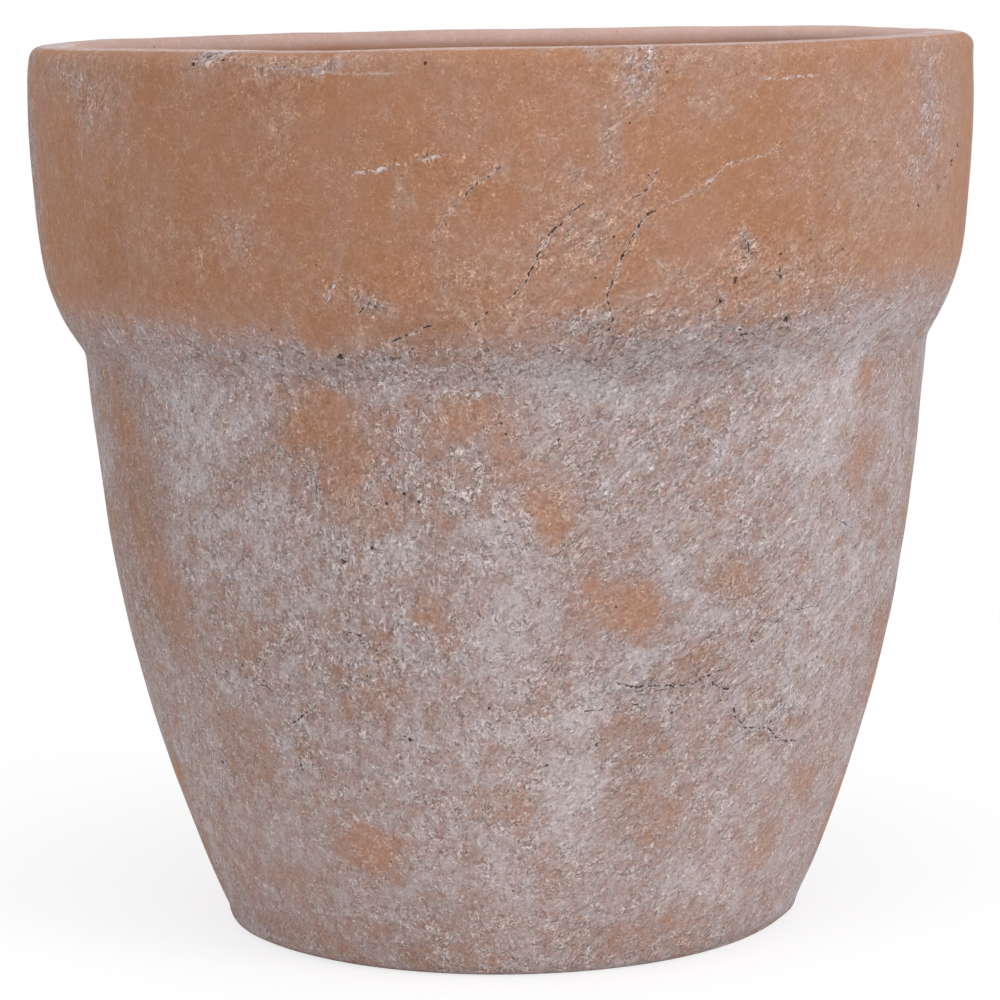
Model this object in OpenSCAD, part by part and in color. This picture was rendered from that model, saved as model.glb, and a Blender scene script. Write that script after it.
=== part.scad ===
// Round bell-shaped planter with a deep collar, moulded in one piece, and the rubber bung of its drain hole.
// All sizes are in millimetres. Both pieces are turned about the Z axis, and the pot stands on Z = 0.

/* [Body] */
// Height of the pot, from the ground to the rim
pot_h = 378; // [350:1:410]
// Radius of the sharp corner between body and ground, before it is rounded
foot_corner_r = 122.4; // [110:0.1:135]
// Radius of the rounding between body and ground
foot_edge = 8; // [6:0.5:14]
// Radius of the neck, where the body meets the collar
neck_r = 179.3; // [170:0.1:185]
// Height of the neck
neck_z = 249.7; // [235:0.1:265]
// How far the body's side bows out of the straight line from its foot to the neck
body_bow = 11.8; // [8:0.1:16]
// Thickness of the body's wall
wall_t = 20; // [14:0.5:26]

/* [Collar] */
// Radius where the collar's underside turns into its wall
collar_low_r = 196.5; // [192:0.1:198]
// Height where the collar's underside turns into its wall
collar_low_z = 293.1; // [280:0.1:305]
// Radius of the collar just under the rim
rim_r = 199.8; // [198.5:0.1:203]
// How far the collar's underside bows out
underside_bow = 3; // [1:0.1:5]
// How far the collar's wall bows out
collar_bow = 1.4; // [0.5:0.1:3]

/* [Rim and mouth] */
// Width of the rim, from its outside to the mouth
rim_w = 29; // [24:0.5:34]
// Rounding of the rim's outer edge
rim_outer_edge = 6.5; // [4:0.5:10]
// Rounding of the rim's inner edge
rim_inner_edge = 6; // [3:0.5:9]
// How far the inside bends back from the straight line between neck and mouth
mouth_flare = 1.5; // [0.5:0.1:3]

/* [Floor and drain] */
// Height of the inner floor above the ground
floor_z = 24; // [18:1:32]
// Rounding between the inner floor and the wall
floor_fillet = 18; // [10:1:24]
// Radius of the shallow recess under the pot, inside its foot ring
recess_r = 88; // [70:1:95]
// Depth of the recess
recess_d = 3; // [2:0.5:3.5]
// Radius of the drain hole in the middle of the floor
drain_r = 12.5; // [10:0.5:16]

/* [Bung] */
// Clearance between the bung's ribs and the wall of the drain hole
bung_gap = 0.06; // [0.02:0.01:0.1]
// Height of a rib above the bung's stem
rib_h = 1.2; // [0.8:0.1:2]
// Number of ribs round the stem
rib_count = 3; // [2:1:3]
// Height of the stem's free end above the ground
stem_end_z = 4.5; // [4:0.5:6]
// Radius of the flange that rests on the floor
flange_r = 22; // [19:0.5:28]
// Thickness of the flange
flange_t = 4; // [3:0.5:6]
// Radius of the knob that the bung is pulled out by
knob_r = 8; // [6.5:0.5:10]
// Height of the knob's top above the flange
knob_h = 17; // [17:0.5:22]

/* [Hidden] */
clay = "#ad9289";
black_rubber = "#2b2b2a";
// Fineness of the turned solids
round_fn = 128;
// How far a cutting tool reaches past the face that it cuts
overcut = 1;
// Number of straight steps in each kind of arc
long_steps = 24;
mid_steps = 10;
edge_steps = 8;

// Pitch of the bung's ribs, spread over the stem between floor and free end
rib_pitch = (floor_z - stem_end_z) / (rib_count + 1);
// Width of the flat crest of a rib and of each of its flanks
rib_crest = 1;
rib_flank = 1;
// Stem and rib radii
rib_r = drain_r - bung_gap;
stem_r = rib_r - rib_h;
// Bevels of the bung's free end and flange, and the waist under its knob
stem_bevel = 1.5;
flange_edge = 1.2;
waist_r = 5;

// Sign convention of the arcs: a positive bow is on the right when looking from p to q
// Radius of the arc from p to q that bows by the given height
function bow_radius(p, q, bow) = (pow(norm(q - p) / 2, 2) + bow * bow) / (2 * abs(bow));

// Centre of that arc
function bow_centre(p, q, bow) =
    let (
        along = (q - p) / norm(q - p),
        right = [along.y, -along.x],
        side = bow > 0 ? 1 : -1
    )
    (p + q) / 2 - side * right * (bow_radius(p, q, bow) - abs(bow));

// Angle at which the point p lies round the centre c
function bearing(c, p) = atan2(p.y - c.y, p.x - c.x);

// Points round a centre, from angle a to angle b, both included
function turn(c, r, a, b, steps) = [for (i = [0:steps]) c + r * [cos(a + (b - a) * i / steps), sin(a + (b - a) * i / steps)]];

// Points of the arc from p to q that bows by the given height
function bowed(p, q, bow, steps) =
    let (
        c = bow_centre(p, q, bow),
        from = bearing(c, p),
        sweep = bearing(c, q) - from
    )
    turn(c, bow_radius(p, q, bow), from, from + (abs(sweep) > 180 ? sweep - sign(sweep) * 360 : sweep), steps);

// The points where the outside changes its curve, each as radius and height
foot_corner = [foot_corner_r, 0];
neck = [neck_r, neck_z];
collar_low = [collar_low_r, collar_low_z];
rim_side = [rim_r, pot_h - rim_outer_edge];

// The circle that the body's side follows
body_arc_r = bow_radius(foot_corner, neck, body_bow);
body_arc_c = bow_centre(foot_corner, neck, body_bow);

// Centre of the foot's rounding, which touches the ground and the body's circle
foot_c = [body_arc_c.x + sqrt(pow(body_arc_r - foot_edge, 2) - pow(foot_edge - body_arc_c.y, 2)), foot_edge];

// The inside runs one wall thickness within the body's circle, from the floor's fillet to the neck
inner_arc_r = body_arc_r - wall_t;
floor_fillet_c = [
    body_arc_c.x + sqrt(pow(inner_arc_r - floor_fillet, 2) - pow(floor_z + floor_fillet - body_arc_c.y, 2)),
    floor_z + floor_fillet
];
inner_neck_bearing = bearing(body_arc_c, neck);
inner_neck = body_arc_c + inner_arc_r * [cos(inner_neck_bearing), sin(inner_neck_bearing)];
mouth = [rim_r - rim_w, pot_h - rim_inner_edge];

// Half section of the outside, from the middle of the ground up to the rim's top
function outside() = concat(
    [[0, 0]],
    turn(foot_c, foot_edge, -90, bearing(body_arc_c, foot_c), edge_steps),
    turn(body_arc_c, body_arc_r, bearing(body_arc_c, foot_c), bearing(body_arc_c, neck), long_steps),
    bowed(neck, collar_low, underside_bow, mid_steps),
    bowed(collar_low, rim_side, collar_bow, mid_steps),
    turn(rim_side - [rim_outer_edge, 0], rim_outer_edge, 0, 90, edge_steps)
);

// Half section of the inside, from the rim's top down to the middle of the floor
function inside() = concat(
    turn(mouth + [rim_inner_edge, 0], rim_inner_edge, 90, 180, edge_steps),
    bowed(mouth, inner_neck, mouth_flare, mid_steps),
    turn(body_arc_c, inner_arc_r, inner_neck_bearing, bearing(body_arc_c, floor_fillet_c), long_steps),
    turn(floor_fillet_c, floor_fillet, bearing(body_arc_c, floor_fillet_c), -90, edge_steps),
    [[0, floor_z]]
);

// A point list without points that repeat their neighbour
function without_repeats(points) = [
    for (i = [0:len(points) - 1])
        if (i == 0 || norm(points[i] - points[max(i - 1, 0)]) > 0.001) points[i]
];

// Section of one rib whose lower flank starts at height z
function rib(z) = [
    [stem_r, z],
    [rib_r, z + rib_flank],
    [rib_r, z + rib_flank + rib_crest],
    [stem_r, z + 2 * rib_flank + rib_crest]
];

// The pot: outside, rim, inside and floor are one casting, recessed underneath and drilled for drainage
module pot_shell() {
    color(clay)
        difference() {
            rotate_extrude($fn = round_fn) polygon(without_repeats(concat(outside(), inside())));
            translate([0, 0, -overcut]) cylinder(r = recess_r, h = recess_d + overcut, $fn = round_fn);
            translate([0, 0, -overcut]) cylinder(r = drain_r, h = floor_z + 2 * overcut, $fn = round_fn);
        }
}

// The bung: a ribbed stem in the drain hole, a flange that rests on the floor, and a knob to pull it by
module drain_bung() {
    flange_top = floor_z + flange_t;
    knob_c = [0, flange_top + knob_h - knob_r];
    waist_top = bearing([0, 0], [waist_r, -sqrt(knob_r * knob_r - waist_r * waist_r)]);
    color(black_rubber)
        rotate_extrude($fn = round_fn)
            polygon(concat(
                [[0, stem_end_z], [stem_r - stem_bevel, stem_end_z], [stem_r, stem_end_z + stem_bevel]],
                [for (i = [1:rib_count]) each rib(stem_end_z + i * rib_pitch - rib_flank - rib_crest / 2)],
                [[stem_r, floor_z], [flange_r, floor_z], [flange_r, flange_top - flange_edge]],
                [[flange_r - flange_edge, flange_top], [waist_r, flange_top]],
                turn(knob_c, knob_r, waist_top, 90, long_steps)
            ));
}

pot_shell();
drain_bung();
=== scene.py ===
"""Bell-shaped clay planter with an aged lime wash, and the rubber bung of its drain hole."""

import logging
import math
from dataclasses import dataclass, field
from enum import Enum
from functools import partial
from typing import Callable, Iterable, Sequence

import bpy
import numpy as np
from mathutils import Matrix, Vector, kdtree, noise


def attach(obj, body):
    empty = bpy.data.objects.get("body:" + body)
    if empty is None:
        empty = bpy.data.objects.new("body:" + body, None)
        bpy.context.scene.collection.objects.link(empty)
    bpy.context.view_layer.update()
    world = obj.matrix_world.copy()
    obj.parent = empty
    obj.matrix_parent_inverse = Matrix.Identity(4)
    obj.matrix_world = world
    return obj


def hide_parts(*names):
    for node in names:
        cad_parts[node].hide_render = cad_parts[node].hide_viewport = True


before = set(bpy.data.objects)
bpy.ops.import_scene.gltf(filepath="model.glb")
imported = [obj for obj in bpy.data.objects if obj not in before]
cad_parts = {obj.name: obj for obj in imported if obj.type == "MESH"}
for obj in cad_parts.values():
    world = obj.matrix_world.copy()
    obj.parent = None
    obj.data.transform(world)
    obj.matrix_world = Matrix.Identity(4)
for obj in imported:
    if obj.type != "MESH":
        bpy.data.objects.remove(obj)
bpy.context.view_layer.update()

MM = 0.001
FULL_TURN = 2 * math.pi
NOISE_MIDDLE = 0.5
LOG = logging.getLogger("planter")
# What the pot's material reads at each point: how thick the wash lies, how crusty it is, how grimy it is with
# painted shade and light added, how far in mm the nearest crack is and how wide, dark and chalky it is, and
# how far inside a grit hole it is
SURFACE_FIELDS = ("lime", "crust", "grime", "rift", "rift_width", "rift_dark", "rift_chalk", "pit")
Adder = Callable[..., bpy.types.Node]


def linear(colour: str) -> tuple[float, float, float, float]:
    """Turns an sRGB hex colour into linear light.

    Args:
        colour: Colour such as "#ad826b".

    Returns:
        Red, green, blue and alpha, from 0 to 1.
    """
    parts = [int(colour[i : i + 2], 16) / 255 for i in (1, 3, 5)]
    light = [c / 12.92 if c <= 0.04045 else ((c + 0.055) / 1.055) ** 2.4 for c in parts]
    return (*light, 1.0)


def add_node(
    tree: bpy.types.NodeTree,
    kind: str,
    inputs: Sequence[object] | dict[str, object] = (),
    **settings: object,
) -> bpy.types.Node:
    """Adds a node with its settings and links.

    Args:
        tree: Node tree that gets the node.
        kind: Blender's name for the type of node, without "ShaderNode".
        inputs: Values, sockets or nodes for the inputs in use, in order or by name. A node gives its first
            output.
        settings: Properties of the node.

    Returns:
        The new node.
    """
    made = tree.nodes.new("ShaderNode" + kind)
    for name, value in settings.items():
        setattr(made, name, value)
    sockets = [socket for socket in made.inputs if socket.enabled]
    by_name = {socket.name: socket for socket in reversed(sockets)}
    pairs = [(by_name[k], v) for k, v in inputs.items()] if isinstance(inputs, dict) else zip(sockets, inputs)
    for socket, value in pairs:
        if isinstance(value, bpy.types.Node):
            value = next(output for output in value.outputs if output.enabled)
        if isinstance(value, bpy.types.NodeSocket):
            tree.links.new(value, socket)
        else:
            socket.default_value = value
    return made


def empty_tree(owner: bpy.types.Material | bpy.types.World) -> Adder:
    """Empties the node tree of a material or world.

    Args:
        owner: The material or world.

    Returns:
        The function that adds a node to its tree.
    """
    owner.use_nodes = True
    owner.node_tree.nodes.clear()
    return partial(add_node, owner.node_tree)


def add_object(name: str, data: bpy.types.ID) -> bpy.types.Object:
    """Puts a mesh, lamp or camera into the scene.

    Args:
        name: Name of the object.
        data: What the object shows.

    Returns:
        The object.
    """
    made = bpy.data.objects.new(name, data)
    bpy.context.scene.collection.objects.link(made)
    return made


def smooth_step(x: np.ndarray, low: float, high: float) -> np.ndarray:
    """Rises smoothly from 0 at low to 1 at high."""
    t = np.clip((x - low) / (high - low), 0, 1)
    return t * t * (3 - 2 * t)


def turn(centre: np.ndarray, radius: float, start: float, end: float) -> np.ndarray:
    """Points of an arc round a centre, a quarter of a millimetre apart.

    Args:
        centre: Radius and height of the centre.
        radius: Radius of the arc.
        start: Bearing of the first point, in radians.
        end: Bearing of the last point.

    Returns:
        One row of radius and height for each point.
    """
    count = max(3, int(abs(end - start) * radius / BellProfile.STEP))
    angles = np.linspace(start, end, count)
    return centre + radius * np.stack([np.cos(angles), np.sin(angles)], axis=1)


def bearing(centre: np.ndarray, point: np.ndarray) -> float:
    """Angle at which a point lies round a centre."""
    return math.atan2(point[1] - centre[1], point[0] - centre[0])


def bow_circle(p: np.ndarray, q: np.ndarray, bow: float) -> tuple[np.ndarray, float]:
    """Circle of the arc from p to q that bows out to the right by the given height.

    Args:
        p: First point.
        q: Last point.
        bow: Height of the arc over its chord.

    Returns:
        Centre and radius.
    """
    half = np.linalg.norm(q - p) / 2
    along = (q - p) / (2 * half)
    radius = (half * half + bow * bow) / (2 * bow)
    return (p + q) / 2 - np.array([along[1], -along[0]]) * (radius - bow), radius


def bowed(p: np.ndarray, q: np.ndarray, bow: float) -> np.ndarray:
    """Points of the arc from p to q that bows out to the right by the given height.

    Args:
        p: First point.
        q: Last point.
        bow: Height of the arc over its chord.

    Returns:
        One row of radius and height for each point.
    """
    centre, radius = bow_circle(p, q, bow)
    start = bearing(centre, p)
    sweep = (bearing(centre, q) - start + math.pi) % FULL_TURN - math.pi
    return turn(centre, radius, start, start + sweep)


def softened(samples: np.ndarray, width: float) -> np.ndarray:
    """Smooths even samples of a line.

    Args:
        samples: The samples, with enough of the line on both sides to smooth from.
        width: Standard deviation of the smoothing, counted in samples.

    Returns:
        The smoothed samples, fewer by four widths at each end.
    """
    reach = int(4 * width)
    weights = np.exp(-0.5 * (np.arange(-reach, reach + 1) / width) ** 2)
    return np.convolve(samples, weights / weights.sum(), mode="valid")


def rounded(section: np.ndarray, edge: float = 0.3, step: float = 0.4) -> np.ndarray:
    """Wears the corners of a half section that starts and ends on the axis.

    Args:
        section: One row of radius and height for each corner, in mm.
        edge: About the radius that the corners get.
        step: Length between the new points.

    Returns:
        The new points.
    """
    mirrored = section * [-1, 1]
    whole = np.concatenate([mirrored[::-1], section, mirrored[::-1]])
    reach = np.concatenate([[0], np.cumsum(np.linalg.norm(np.diff(whole, axis=0), axis=1))])
    start, end = reach[len(section)], reach[2 * len(section) - 1]
    steps = int((end - start) / step)
    spare = int(4 * edge / step)
    along = start + np.arange(-spare, steps + 1 + spare) * (end - start) / steps
    return np.stack([softened(np.interp(along, reach, whole[:, i]), edge / step) for i in (0, 1)], axis=1)


@dataclass(frozen=True)
class Outline:
    """The pot's half section as a closed loop, sampled evenly along its length, in millimetres."""

    RIM_SIDE_LENGTH = 8.0
    along: np.ndarray
    radius: np.ndarray
    height: np.ndarray
    corners: dict[str, float]

    @property
    def length(self) -> float:
        """Length of the whole loop."""
        return float(self.along[-1] + self.along[1])

    def at(self, along: np.ndarray) -> tuple[np.ndarray, np.ndarray, np.ndarray]:
        """Looks up points of the loop.

        Args:
            along: Distances along the loop.

        Returns:
            Radius, height and the outward direction as radius and height, for each distance.
        """
        wrapped = np.mod(along, self.length)
        step = BellProfile.STEP
        values = [
            np.interp(np.mod(wrapped + shift, self.length), self.along, line, period=self.length)
            for line in (self.radius, self.height)
            for shift in (0, -step, step)
        ]
        r, r_before, r_after, z, z_before, z_after = values
        out = np.stack([z_after - z_before, r_before - r_after], axis=-1)
        return r, z, out / np.linalg.norm(out, axis=-1, keepdims=True)

    def outside(self, height: np.ndarray) -> np.ndarray:
        """Finds where the pot's outside has the given heights.

        Args:
            height: Heights above the ground.

        Returns:
            Distances along the loop.
        """
        last = self.corners["rim_side"] + self.RIM_SIDE_LENGTH
        span = (self.along > self.corners["foot"]) & (self.along < last)
        return np.interp(height, self.height[span], self.along[span])


@dataclass(frozen=True)
class BellProfile:
    """Driving sizes of the pot's section, in millimetres."""

    STEP = 0.25
    height: float = 378.0
    foot_corner_r: float = 122.4
    foot_edge: float = 8.0
    neck_r: float = 179.3
    neck_z: float = 249.7
    body_bow: float = 11.8
    wall: float = 20.0
    collar_low_r: float = 196.5
    collar_low_z: float = 293.1
    rim_r: float = 199.8
    underside_bow: float = 3.0
    collar_bow: float = 1.4
    rim_w: float = 29.0
    rim_outer_edge: float = 6.5
    rim_inner_edge: float = 6.0
    mouth_flare: float = 1.5
    floor_z: float = 24.0
    floor_fillet: float = 18.0
    recess_r: float = 88.0
    recess_d: float = 3.0
    drain_r: float = 12.5
    worn_edge: float = 0.8
    worn_step: float = 2.4
    step_reach: tuple[float, float] = (8.0, 16.0)

    def outline(self) -> Outline:
        """Draws the loop from the drain hole under the foot, up the outside, over the rim and down inside.

        Returns:
            The loop, with its corners worn round.
        """
        foot_corner = np.array([self.foot_corner_r, 0.0])
        neck = np.array([self.neck_r, self.neck_z])
        collar_low = np.array([self.collar_low_r, self.collar_low_z])
        rim_side = np.array([self.rim_r, self.height - self.rim_outer_edge])
        mouth = np.array([self.rim_r - self.rim_w, self.height - self.rim_inner_edge])
        side, side_r = bow_circle(foot_corner, neck, self.body_bow)
        foot = np.array([self._inside_circle(side, side_r, self.foot_edge, self.foot_edge), self.foot_edge])
        inner_r = side_r - self.wall
        fillet_z = self.floor_z + self.floor_fillet
        fillet = np.array([self._inside_circle(side, inner_r, self.floor_fillet, fillet_z), fillet_z])
        inner_neck = side + inner_r * np.array([math.cos(bearing(side, neck)), math.sin(bearing(side, neck))])
        quarter = math.pi / 2
        sections = {
            "drain_low": [[self.drain_r, self.recess_d]],
            "recess": [[self.recess_r, self.recess_d], [self.recess_r, 0.0]],
            "foot": turn(foot, self.foot_edge, -quarter, bearing(side, foot)),
            "body": turn(side, side_r, bearing(side, foot), bearing(side, neck)),
            "neck": bowed(neck, collar_low, self.underside_bow),
            "collar_low": bowed(collar_low, rim_side, self.collar_bow),
            "rim_side": turn(rim_side - [self.rim_outer_edge, 0], self.rim_outer_edge, 0, quarter),
            "rim_top": turn(mouth + [self.rim_inner_edge, 0], self.rim_inner_edge, quarter, 2 * quarter),
            "mouth": bowed(mouth, inner_neck, self.mouth_flare),
            "inner_wall": turn(side, inner_r, bearing(side, inner_neck), bearing(side, fillet)),
            "floor_fillet": turn(fillet, self.floor_fillet, bearing(side, fillet), -quarter),
            "drain_top": [[self.drain_r, self.floor_z], [self.drain_r, self.recess_d]],
        }
        points = np.concatenate([np.asarray(s, float) for s in sections.values()])
        reach = np.concatenate([[0], np.cumsum(np.linalg.norm(np.diff(points, axis=0), axis=1))])
        starts = np.cumsum([0] + [len(s) for s in sections.values()])[:-1]
        corners = {name: float(reach[i]) for name, i in zip(sections, starts)}
        count = int(reach[-1] / self.STEP)
        along = np.arange(count) * (reach[-1] / count)
        radius, height = (np.interp(along, reach, points[:, i]) for i in (0, 1))
        near_step = np.zeros(count)
        for name in ("neck", "collar_low"):
            away = np.abs(along - corners[name])
            near_step = np.maximum(near_step, 1 - smooth_step(away, *self.step_reach))
        radius, height = (
            self._worn(line, self.worn_edge) * (1 - near_step) + self._worn(line, self.worn_step) * near_step
            for line in (radius, height)
        )
        return Outline(along, radius, height, corners)

    @staticmethod
    def _inside_circle(side: np.ndarray, radius: float, edge: float, height: float) -> float:
        """Radius at which a rounding of the given edge radius and centre height touches the side's circle."""
        return float(side[0] + math.sqrt((radius - edge) ** 2 - (height - side[1]) ** 2))

    def _worn(self, line: np.ndarray, width: float) -> np.ndarray:
        """Rounds the corners of a closed line.

        Args:
            line: Even samples of the line.
            width: Standard deviation of the smoothing, in millimetres.

        Returns:
            The smoothed samples.
        """
        spare = int(4 * width / self.STEP)
        return softened(np.concatenate([line[-spare:], line, line[:spare]]), width / self.STEP)


class Fissure(Enum):
    """What a drying crack looks like: how dark and how chalky it is, how deep in mm and how wide in mm."""

    OPEN = (1.0, 0.9, 0.8, 0.32)
    HAIRLINE = (0.9, 0.6, 0.45, 0.2)
    CHALKED = (0.3, 1.0, 0.2, 0.2)
    GAPING = (1.0, 0.8, 1.0, 0.6)
    TRACE = (0.0, 0.45, 0.0, 0.1)
    RIDGE = (0.0, 0.6, -0.3, 0.4)


@dataclass(frozen=True)
class Crack:
    """A drying crack through points of the pot's outside.

    Each point has its azimuth in degrees, 0 in front and positive to the right, and its height in mm.
    """

    kind: Fissure
    path: tuple[tuple[float, float], ...]

    def moved(self, turn_deg: float, lift: float) -> "Crack":
        """A mirrored copy of the crack on another side of the pot.

        Args:
            turn_deg: Azimuth that the front's middle goes to.
            lift: How much higher the copy is, in mm.

        Returns:
            The copy.
        """
        return Crack(self.kind, tuple((turn_deg - azimuth, height + lift) for azimuth, height in self.path))


@dataclass(frozen=True)
class Pit:
    """A small hole left by grit, at an azimuth in degrees and a height and with a radius in mm."""

    azimuth: float
    height: float
    radius: float = 0.5


@dataclass(frozen=True)
class Patch:
    """An area where the coat differs, with its place, half width, half height and tilt in mm and degrees."""

    azimuth: float
    height: float
    across: float
    tall: float
    amount: float
    tilt: float = 0.0


def crack(kind: Fissure, *path: tuple[float, float]) -> Crack:
    """A crack of one kind through the given points."""
    return Crack(kind, path)


FRONT_CRACKS = (
    crack(Fissure.CHALKED, (-36.4, 372.3), (-34.8, 374.2), (-32.8, 376)),
    crack(Fissure.CHALKED, (-16.6, 331), (-11.5, 335), (-6, 339)),
    crack(Fissure.HAIRLINE, (-7.9, 305), (-5.4, 319), (-3.4, 326), (-1.6, 330), (-0.1, 335)),
    crack(
        Fissure.OPEN,
        (0.2, 283), (2.2, 289), (3.5, 298), (5.2, 308), (6.5, 313), (8.1, 318), (9.2, 321),
    ),
    crack(
        Fissure.OPEN,
        (11.2, 263), (12.4, 275), (11.6, 283), (12.1, 289), (13, 296), (14.3, 306), (15.8, 314), (17.5, 317),
    ),
    crack(Fissure.CHALKED, (17.5, 317), (22.1, 324), (26.2, 333), (33.2, 338)),
    crack(Fissure.HAIRLINE, (14.3, 321), (16, 324), (17.4, 334)),
    crack(Fissure.CHALKED, (-20.4, 283), (-18.7, 293)),
    crack(Fissure.HAIRLINE, (-17.4, 277), (-13.8, 288)),
    crack(Fissure.OPEN, (-13.9, 267), (-9.8, 272), (-7.6, 275)),
    crack(Fissure.HAIRLINE, (-4.5, 269), (-2.3, 278), (-0.4, 282)),
    crack(Fissure.HAIRLINE, (25.7, 271), (31.1, 264)),
    crack(Fissure.CHALKED, (29.6, 364), (38, 365)),
    crack(Fissure.CHALKED, (-24.8, 219), (-25.1, 207)),
    crack(Fissure.OPEN, (-34.2, 108), (-31.1, 113), (-28.6, 119)),
    crack(Fissure.HAIRLINE, (-53.5, 118), (-52, 120), (-48, 126)),
    crack(Fissure.HAIRLINE, (-41.1, 127), (-36.8, 124), (-34.7, 119), (-33.9, 113)),
    crack(Fissure.OPEN, (-33.4, 96), (-33.1, 87)),
    crack(Fissure.OPEN, (13.9, 128), (19.8, 126), (26.4, 125), (28.6, 128), (31.1, 130)),
    crack(Fissure.HAIRLINE, (16.4, 122), (18.8, 123), (23.9, 125), (28, 126)),
    crack(Fissure.OPEN, (28.6, 127), (31.5, 121), (33.6, 121), (35.7, 124)),
    crack(Fissure.OPEN, (33.8, 114), (34.4, 109), (36.7, 103), (41.5, 101), (44.8, 94), (50.7, 91)),
    crack(Fissure.OPEN, (42.3, 106), (41.2, 100)),
    crack(Fissure.HAIRLINE, (9, 117), (13, 118), (20, 119)),
    crack(Fissure.HAIRLINE, (51.2, 129), (47.8, 125), (44.7, 119)),
    crack(Fissure.OPEN, (-25, 212), (-25.1, 204)),
    crack(Fissure.OPEN, (-22, 185), (-22, 178)),
    crack(Fissure.HAIRLINE, (-24.3, 145), (-21.8, 150), (-19.4, 148)),
    crack(Fissure.HAIRLINE, (-37.9, 137), (-35.9, 133)),
    crack(Fissure.HAIRLINE, (-22.9, 129), (-20.3, 130)),
    crack(Fissure.CHALKED, (-34.7, 140), (-30.6, 149)),
    crack(Fissure.HAIRLINE, (39.9, 148), (42.1, 150), (49, 150)),
    crack(Fissure.HAIRLINE, (48.2, 195), (49.2, 186), (54.8, 179)),
    crack(Fissure.HAIRLINE, (71.2, 172), (76.7, 156), (80.6, 142)),
    crack(Fissure.HAIRLINE, (-2.6, 13), (0.4, 8)),
    crack(Fissure.RIDGE, (-39.4, 24), (-32.5, 25), (-23.2, 26), (-18.7, 22), (-13.3, 20), (-7, 20)),
    crack(Fissure.GAPING, (35, 272), (35.3, 269), (36, 264.5)),
    crack(Fissure.OPEN, (28.2, 304), (28.7, 295)),
    crack(Fissure.CHALKED, (25, 284), (26.2, 279), (25.2, 274), (26.3, 268)),
    crack(Fissure.HAIRLINE, (25.9, 269), (28.1, 266), (32.3, 264)),
    crack(Fissure.HAIRLINE, (32.8, 292), (33.6, 282)),
    crack(Fissure.TRACE, (17, 298), (18.8, 292), (18.6, 286), (15.4, 282), (12.6, 284)),
    crack(Fissure.TRACE, (21.2, 298), (20.4, 291), (22, 285)),
    crack(Fissure.TRACE, (-29.5, 373), (-24.6, 372.4), (-20.6, 370.6), (-17.5, 369.4), (-11, 369.6)),
    crack(Fissure.HAIRLINE, (69, 344), (69.3, 332.5), (66.9, 326), (64.2, 319), (62.4, 316)),
)
# Number of a front crack, and the turn and lift of its mirrored copy round the back
BACK_CRACKS = (
    (3, 176, 12), (4, 150, 6), (5, 150, 6), (7, 128, 10), (9, 214, -1), (11, 236, 3),
    (14, 130, 60), (18, 190, 40), (21, 252, -20), (23, 196, -30), (19, 228, -60), (16, 160, 60),
)

PITS = tuple(
    Pit(*place)
    for place in (
        (-27.9, 272), (-31, 262), (-8, 373), (-10.7, 265), (-19.7, 262, 1.1), (37.2, 303), (32.9, 296),
        (27, 287, 0.9), (25.4, 279, 0.9), (35.2, 270, 1.0), (33.1, 287), (39.8, 277), (35.2, 253),
        (39.1, 371), (57.8, 366), (-13, 207, 0.7), (-21.9, 179, 1.0), (-17.8, 185, 0.7), (-4.4, 209),
        (-0.7, 235), (6.5, 228), (-0.3, 196), (1, 146), (-48.9, 244), (-28.7, 155), (-44, 89), (-49.8, 87),
        (-40.6, 88), (2.7, 372), (18.4, 368), (69.3, 332.5, 1.0), (66.9, 326, 1.2), (62.4, 316, 1.1),
        (57, 310, 0.9), (36.3, 143, 0.9), (40, 147, 0.6), (35.6, 140), (12.4, 103, 0.7), (23.5, 114),
        (-28.1, 202), (-15.5, 203, 0.6), (-11.2, 204), (-29, 152), (-21.8, 150), (-44.3, 128), (-40.8, 132),
        (-14.6, 106, 0.8), (-31.1, 92), (-16.8, 161), (-50.8, 86, 0.6), (5.2, 95), (9.6, 84), (-3, 120),
        (-36, 372.9, 0.6), (-32, 374.9, 0.5), (-24, 372.3, 0.5), (-21.6, 371.6, 0.6),
    )
)

# Azimuth in degrees and height in mm of the line below which the lime coat begins
LIME_BORDER = (
    (-180, 276), (-165, 284), (-150, 274), (-132, 282), (-115, 272), (-98, 284), (-73, 277), (-57, 279),
    (-38, 281), (-37, 275), (-25, 276), (-24, 269), (-16, 271), (-5, 270), (-3, 275), (12, 275), (23, 280),
    (27, 278), (37, 277), (38, 284), (55, 288), (72, 283), (92, 272), (110, 281), (128, 284), (146, 272),
    (163, 280), (180, 276),
)

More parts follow.
